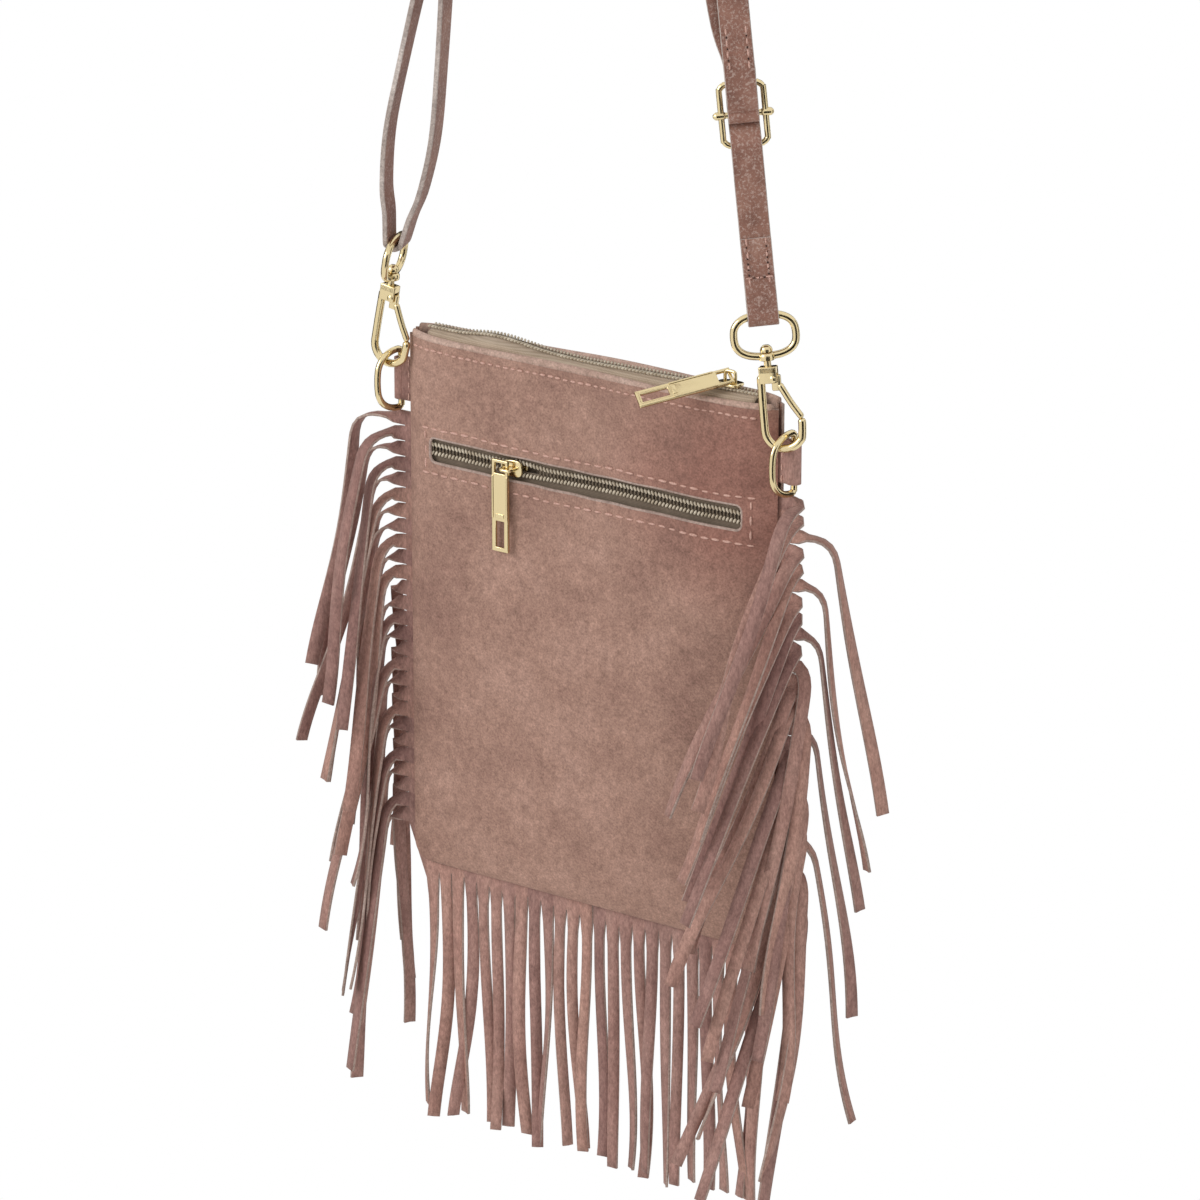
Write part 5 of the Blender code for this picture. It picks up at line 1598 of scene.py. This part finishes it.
upper = WINDOW_Z + WINDOW_HEIGHT / 2 + 0.0036
lower = WINDOW_Z - WINDOW_HEIGHT / 2 - 0.0048
left_end, right_end = -WINDOW_HALF - 0.0022, WINDOW_HALF + 0.0040
frame_rows = [
    path(left_end, right_end, lambda x: on_face(-1, x, upper + 0.0003 * math.sin(x * 80))),
    path(right_end, left_end, lambda x: on_face(-1, x, lower + 0.0003 * math.sin(x * 70))),
]
down_steps = int((upper - lower - 0.006) / 0.0012) + 1
for x in (left_end, right_end):
    frame_rows.append([on_face(-1, x, upper - 0.003 - k * 0.0012) for k in range(down_steps)])
stitched("pocket_frame_stitches", frame_rows, "suede", pitch=0.0050, length=0.0037, thread=0.00054)
print("hems folded and sewn, the window framed by", len(frame_rows), "rows of stitches")

# %% [markdown]
# ## The window's cut edge
# The cut edge of the window is a pale bead, where the split leather shows its raw middle. A thin tube
# follows the window's outline on the swollen face.

# %% Window edge
bead = []
corner = WINDOW_CORNER
for cx, cz, start in ((1, 1, 0), (-1, 1, 90), (-1, -1, 180), (1, -1, 270)):
    middle = (cx * (WINDOW_HALF - corner), WINDOW_Z + cz * (WINDOW_HEIGHT / 2 - corner))
    bead += arc(middle, corner, start, start + 90, 5)
    if start in (0, 180):
        direction = 1 if start == 0 else -1
        for k in range(1, 60):
            x = direction * (WINDOW_HALF - corner) * (1 - 2 * k / 60)
            bead.append((x, 0, WINDOW_Z + cz * WINDOW_HEIGHT / 2))
work = bmesh.new()
tube(work, [on_face(-1, x, z, -0.0005) for x, y, z in bead], 0.00062, sides=10, closed=True)
bmesh.ops.recalc_face_normals(work, faces=work.faces)
made = new_object("window_raw_edge", work, [cut_edge])
settle(made, "bag", "suede")
print(made.name, len(made.data.polygons), "faces")

# %% [markdown]
# ## The tabs
# Each D-ring hangs in a loop of suede whose two ends are caught in the side seam. A short strip is bent
# round the ring's bar by a list of points.

# %% Tabs
TAB_WIDTH = 0.018
for label, side in (("left", -1), ("right", 1)):
    loop = RING_WIRE + GAP + 0.0001 + SUEDE / 2
    route = [(HALF - SEAM_ALLOWANCE, 0.00045), (HALF + 0.0002, 0.0005)]
    turns = [math.radians(angle) for angle in range(140, -141, -20)]
    route += [(RING_BAR + loop * math.cos(t), loop * math.sin(t)) for t in turns]
    route += [(HALF + 0.0002, -0.0005), (HALF - SEAM_ALLOWANCE, -0.00045)]
    route = eased(route, 3)

    def tab_at(across, down, side=side, route=route):
        x, y = route[round(down * (len(route) - 1))]
        flare = 1 - 0.05 * smooth((x - HALF) / 0.008)
        return Vector((side * x, y, HEM_Z - RING_DROP + TAB_WIDTH * (across - 0.5) * flare))

    sheet(f"{label}_folded_tab", tab_at, 8, len(route) - 1, fringe_suede, "suede", f"{label}_tab", thick=0.0009)
    front = [[Vector((side * (HALF + 0.0016), -0.0014, HEM_Z - RING_DROP + z)) for z in (-0.007, 0.0, 0.007)]]
    stitched(f"{label}_tab_stitches", front, "suede", pitch=0.0040, length=0.0028, thread=0.0004)
    print(f"{label} tab folded in", len(route), "steps")

# %% [markdown]
# ## Lining and pocket bag
# Both are thin cotton pouches, hidden but for their mouths. They take the part's own walls, cut finer and
# lightly creased.

# %% Lining and pocket bag
for node_name, name in (("lining", "cotton_lining"), ("pocket_bag", "cotton_pocket_bag")):
    work = bmesh.new()
    work.from_mesh(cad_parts[node_name].data)
    bmesh.ops.remove_doubles(work, verts=work.verts, dist=0.00001)
    bmesh.ops.join_triangles(work, faces=work.faces, angle_face_threshold=0.6, angle_shape_threshold=1.0)
    made = new_object(name, work, [beige_lining])
    finer = made.modifiers.new("finer", "SUBSURF")
    finer.subdivision_type = "SIMPLE"
    finer.levels = 2
    finer.render_levels = 2
    plain_mesh(made)
    for vertex in made.data.vertices:
        x, y, z = vertex.co
        vertex.co.y += 0.00010 * math.sin(z * 210 + 2 * math.sin(x * 60)) * (1 - (abs(x) / HALF) ** 4)
    settle(made, "bag", "lining", node_name)
    print(name, len(made.data.polygons), "faces")

# %% [markdown]
# ## Finish
# The visual model's box is kept beside the part's, so that the two can be compared.

# %% Sizes and finish
low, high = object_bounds()
print("visual box", [round(v, 4) for v in (*low, *high)])
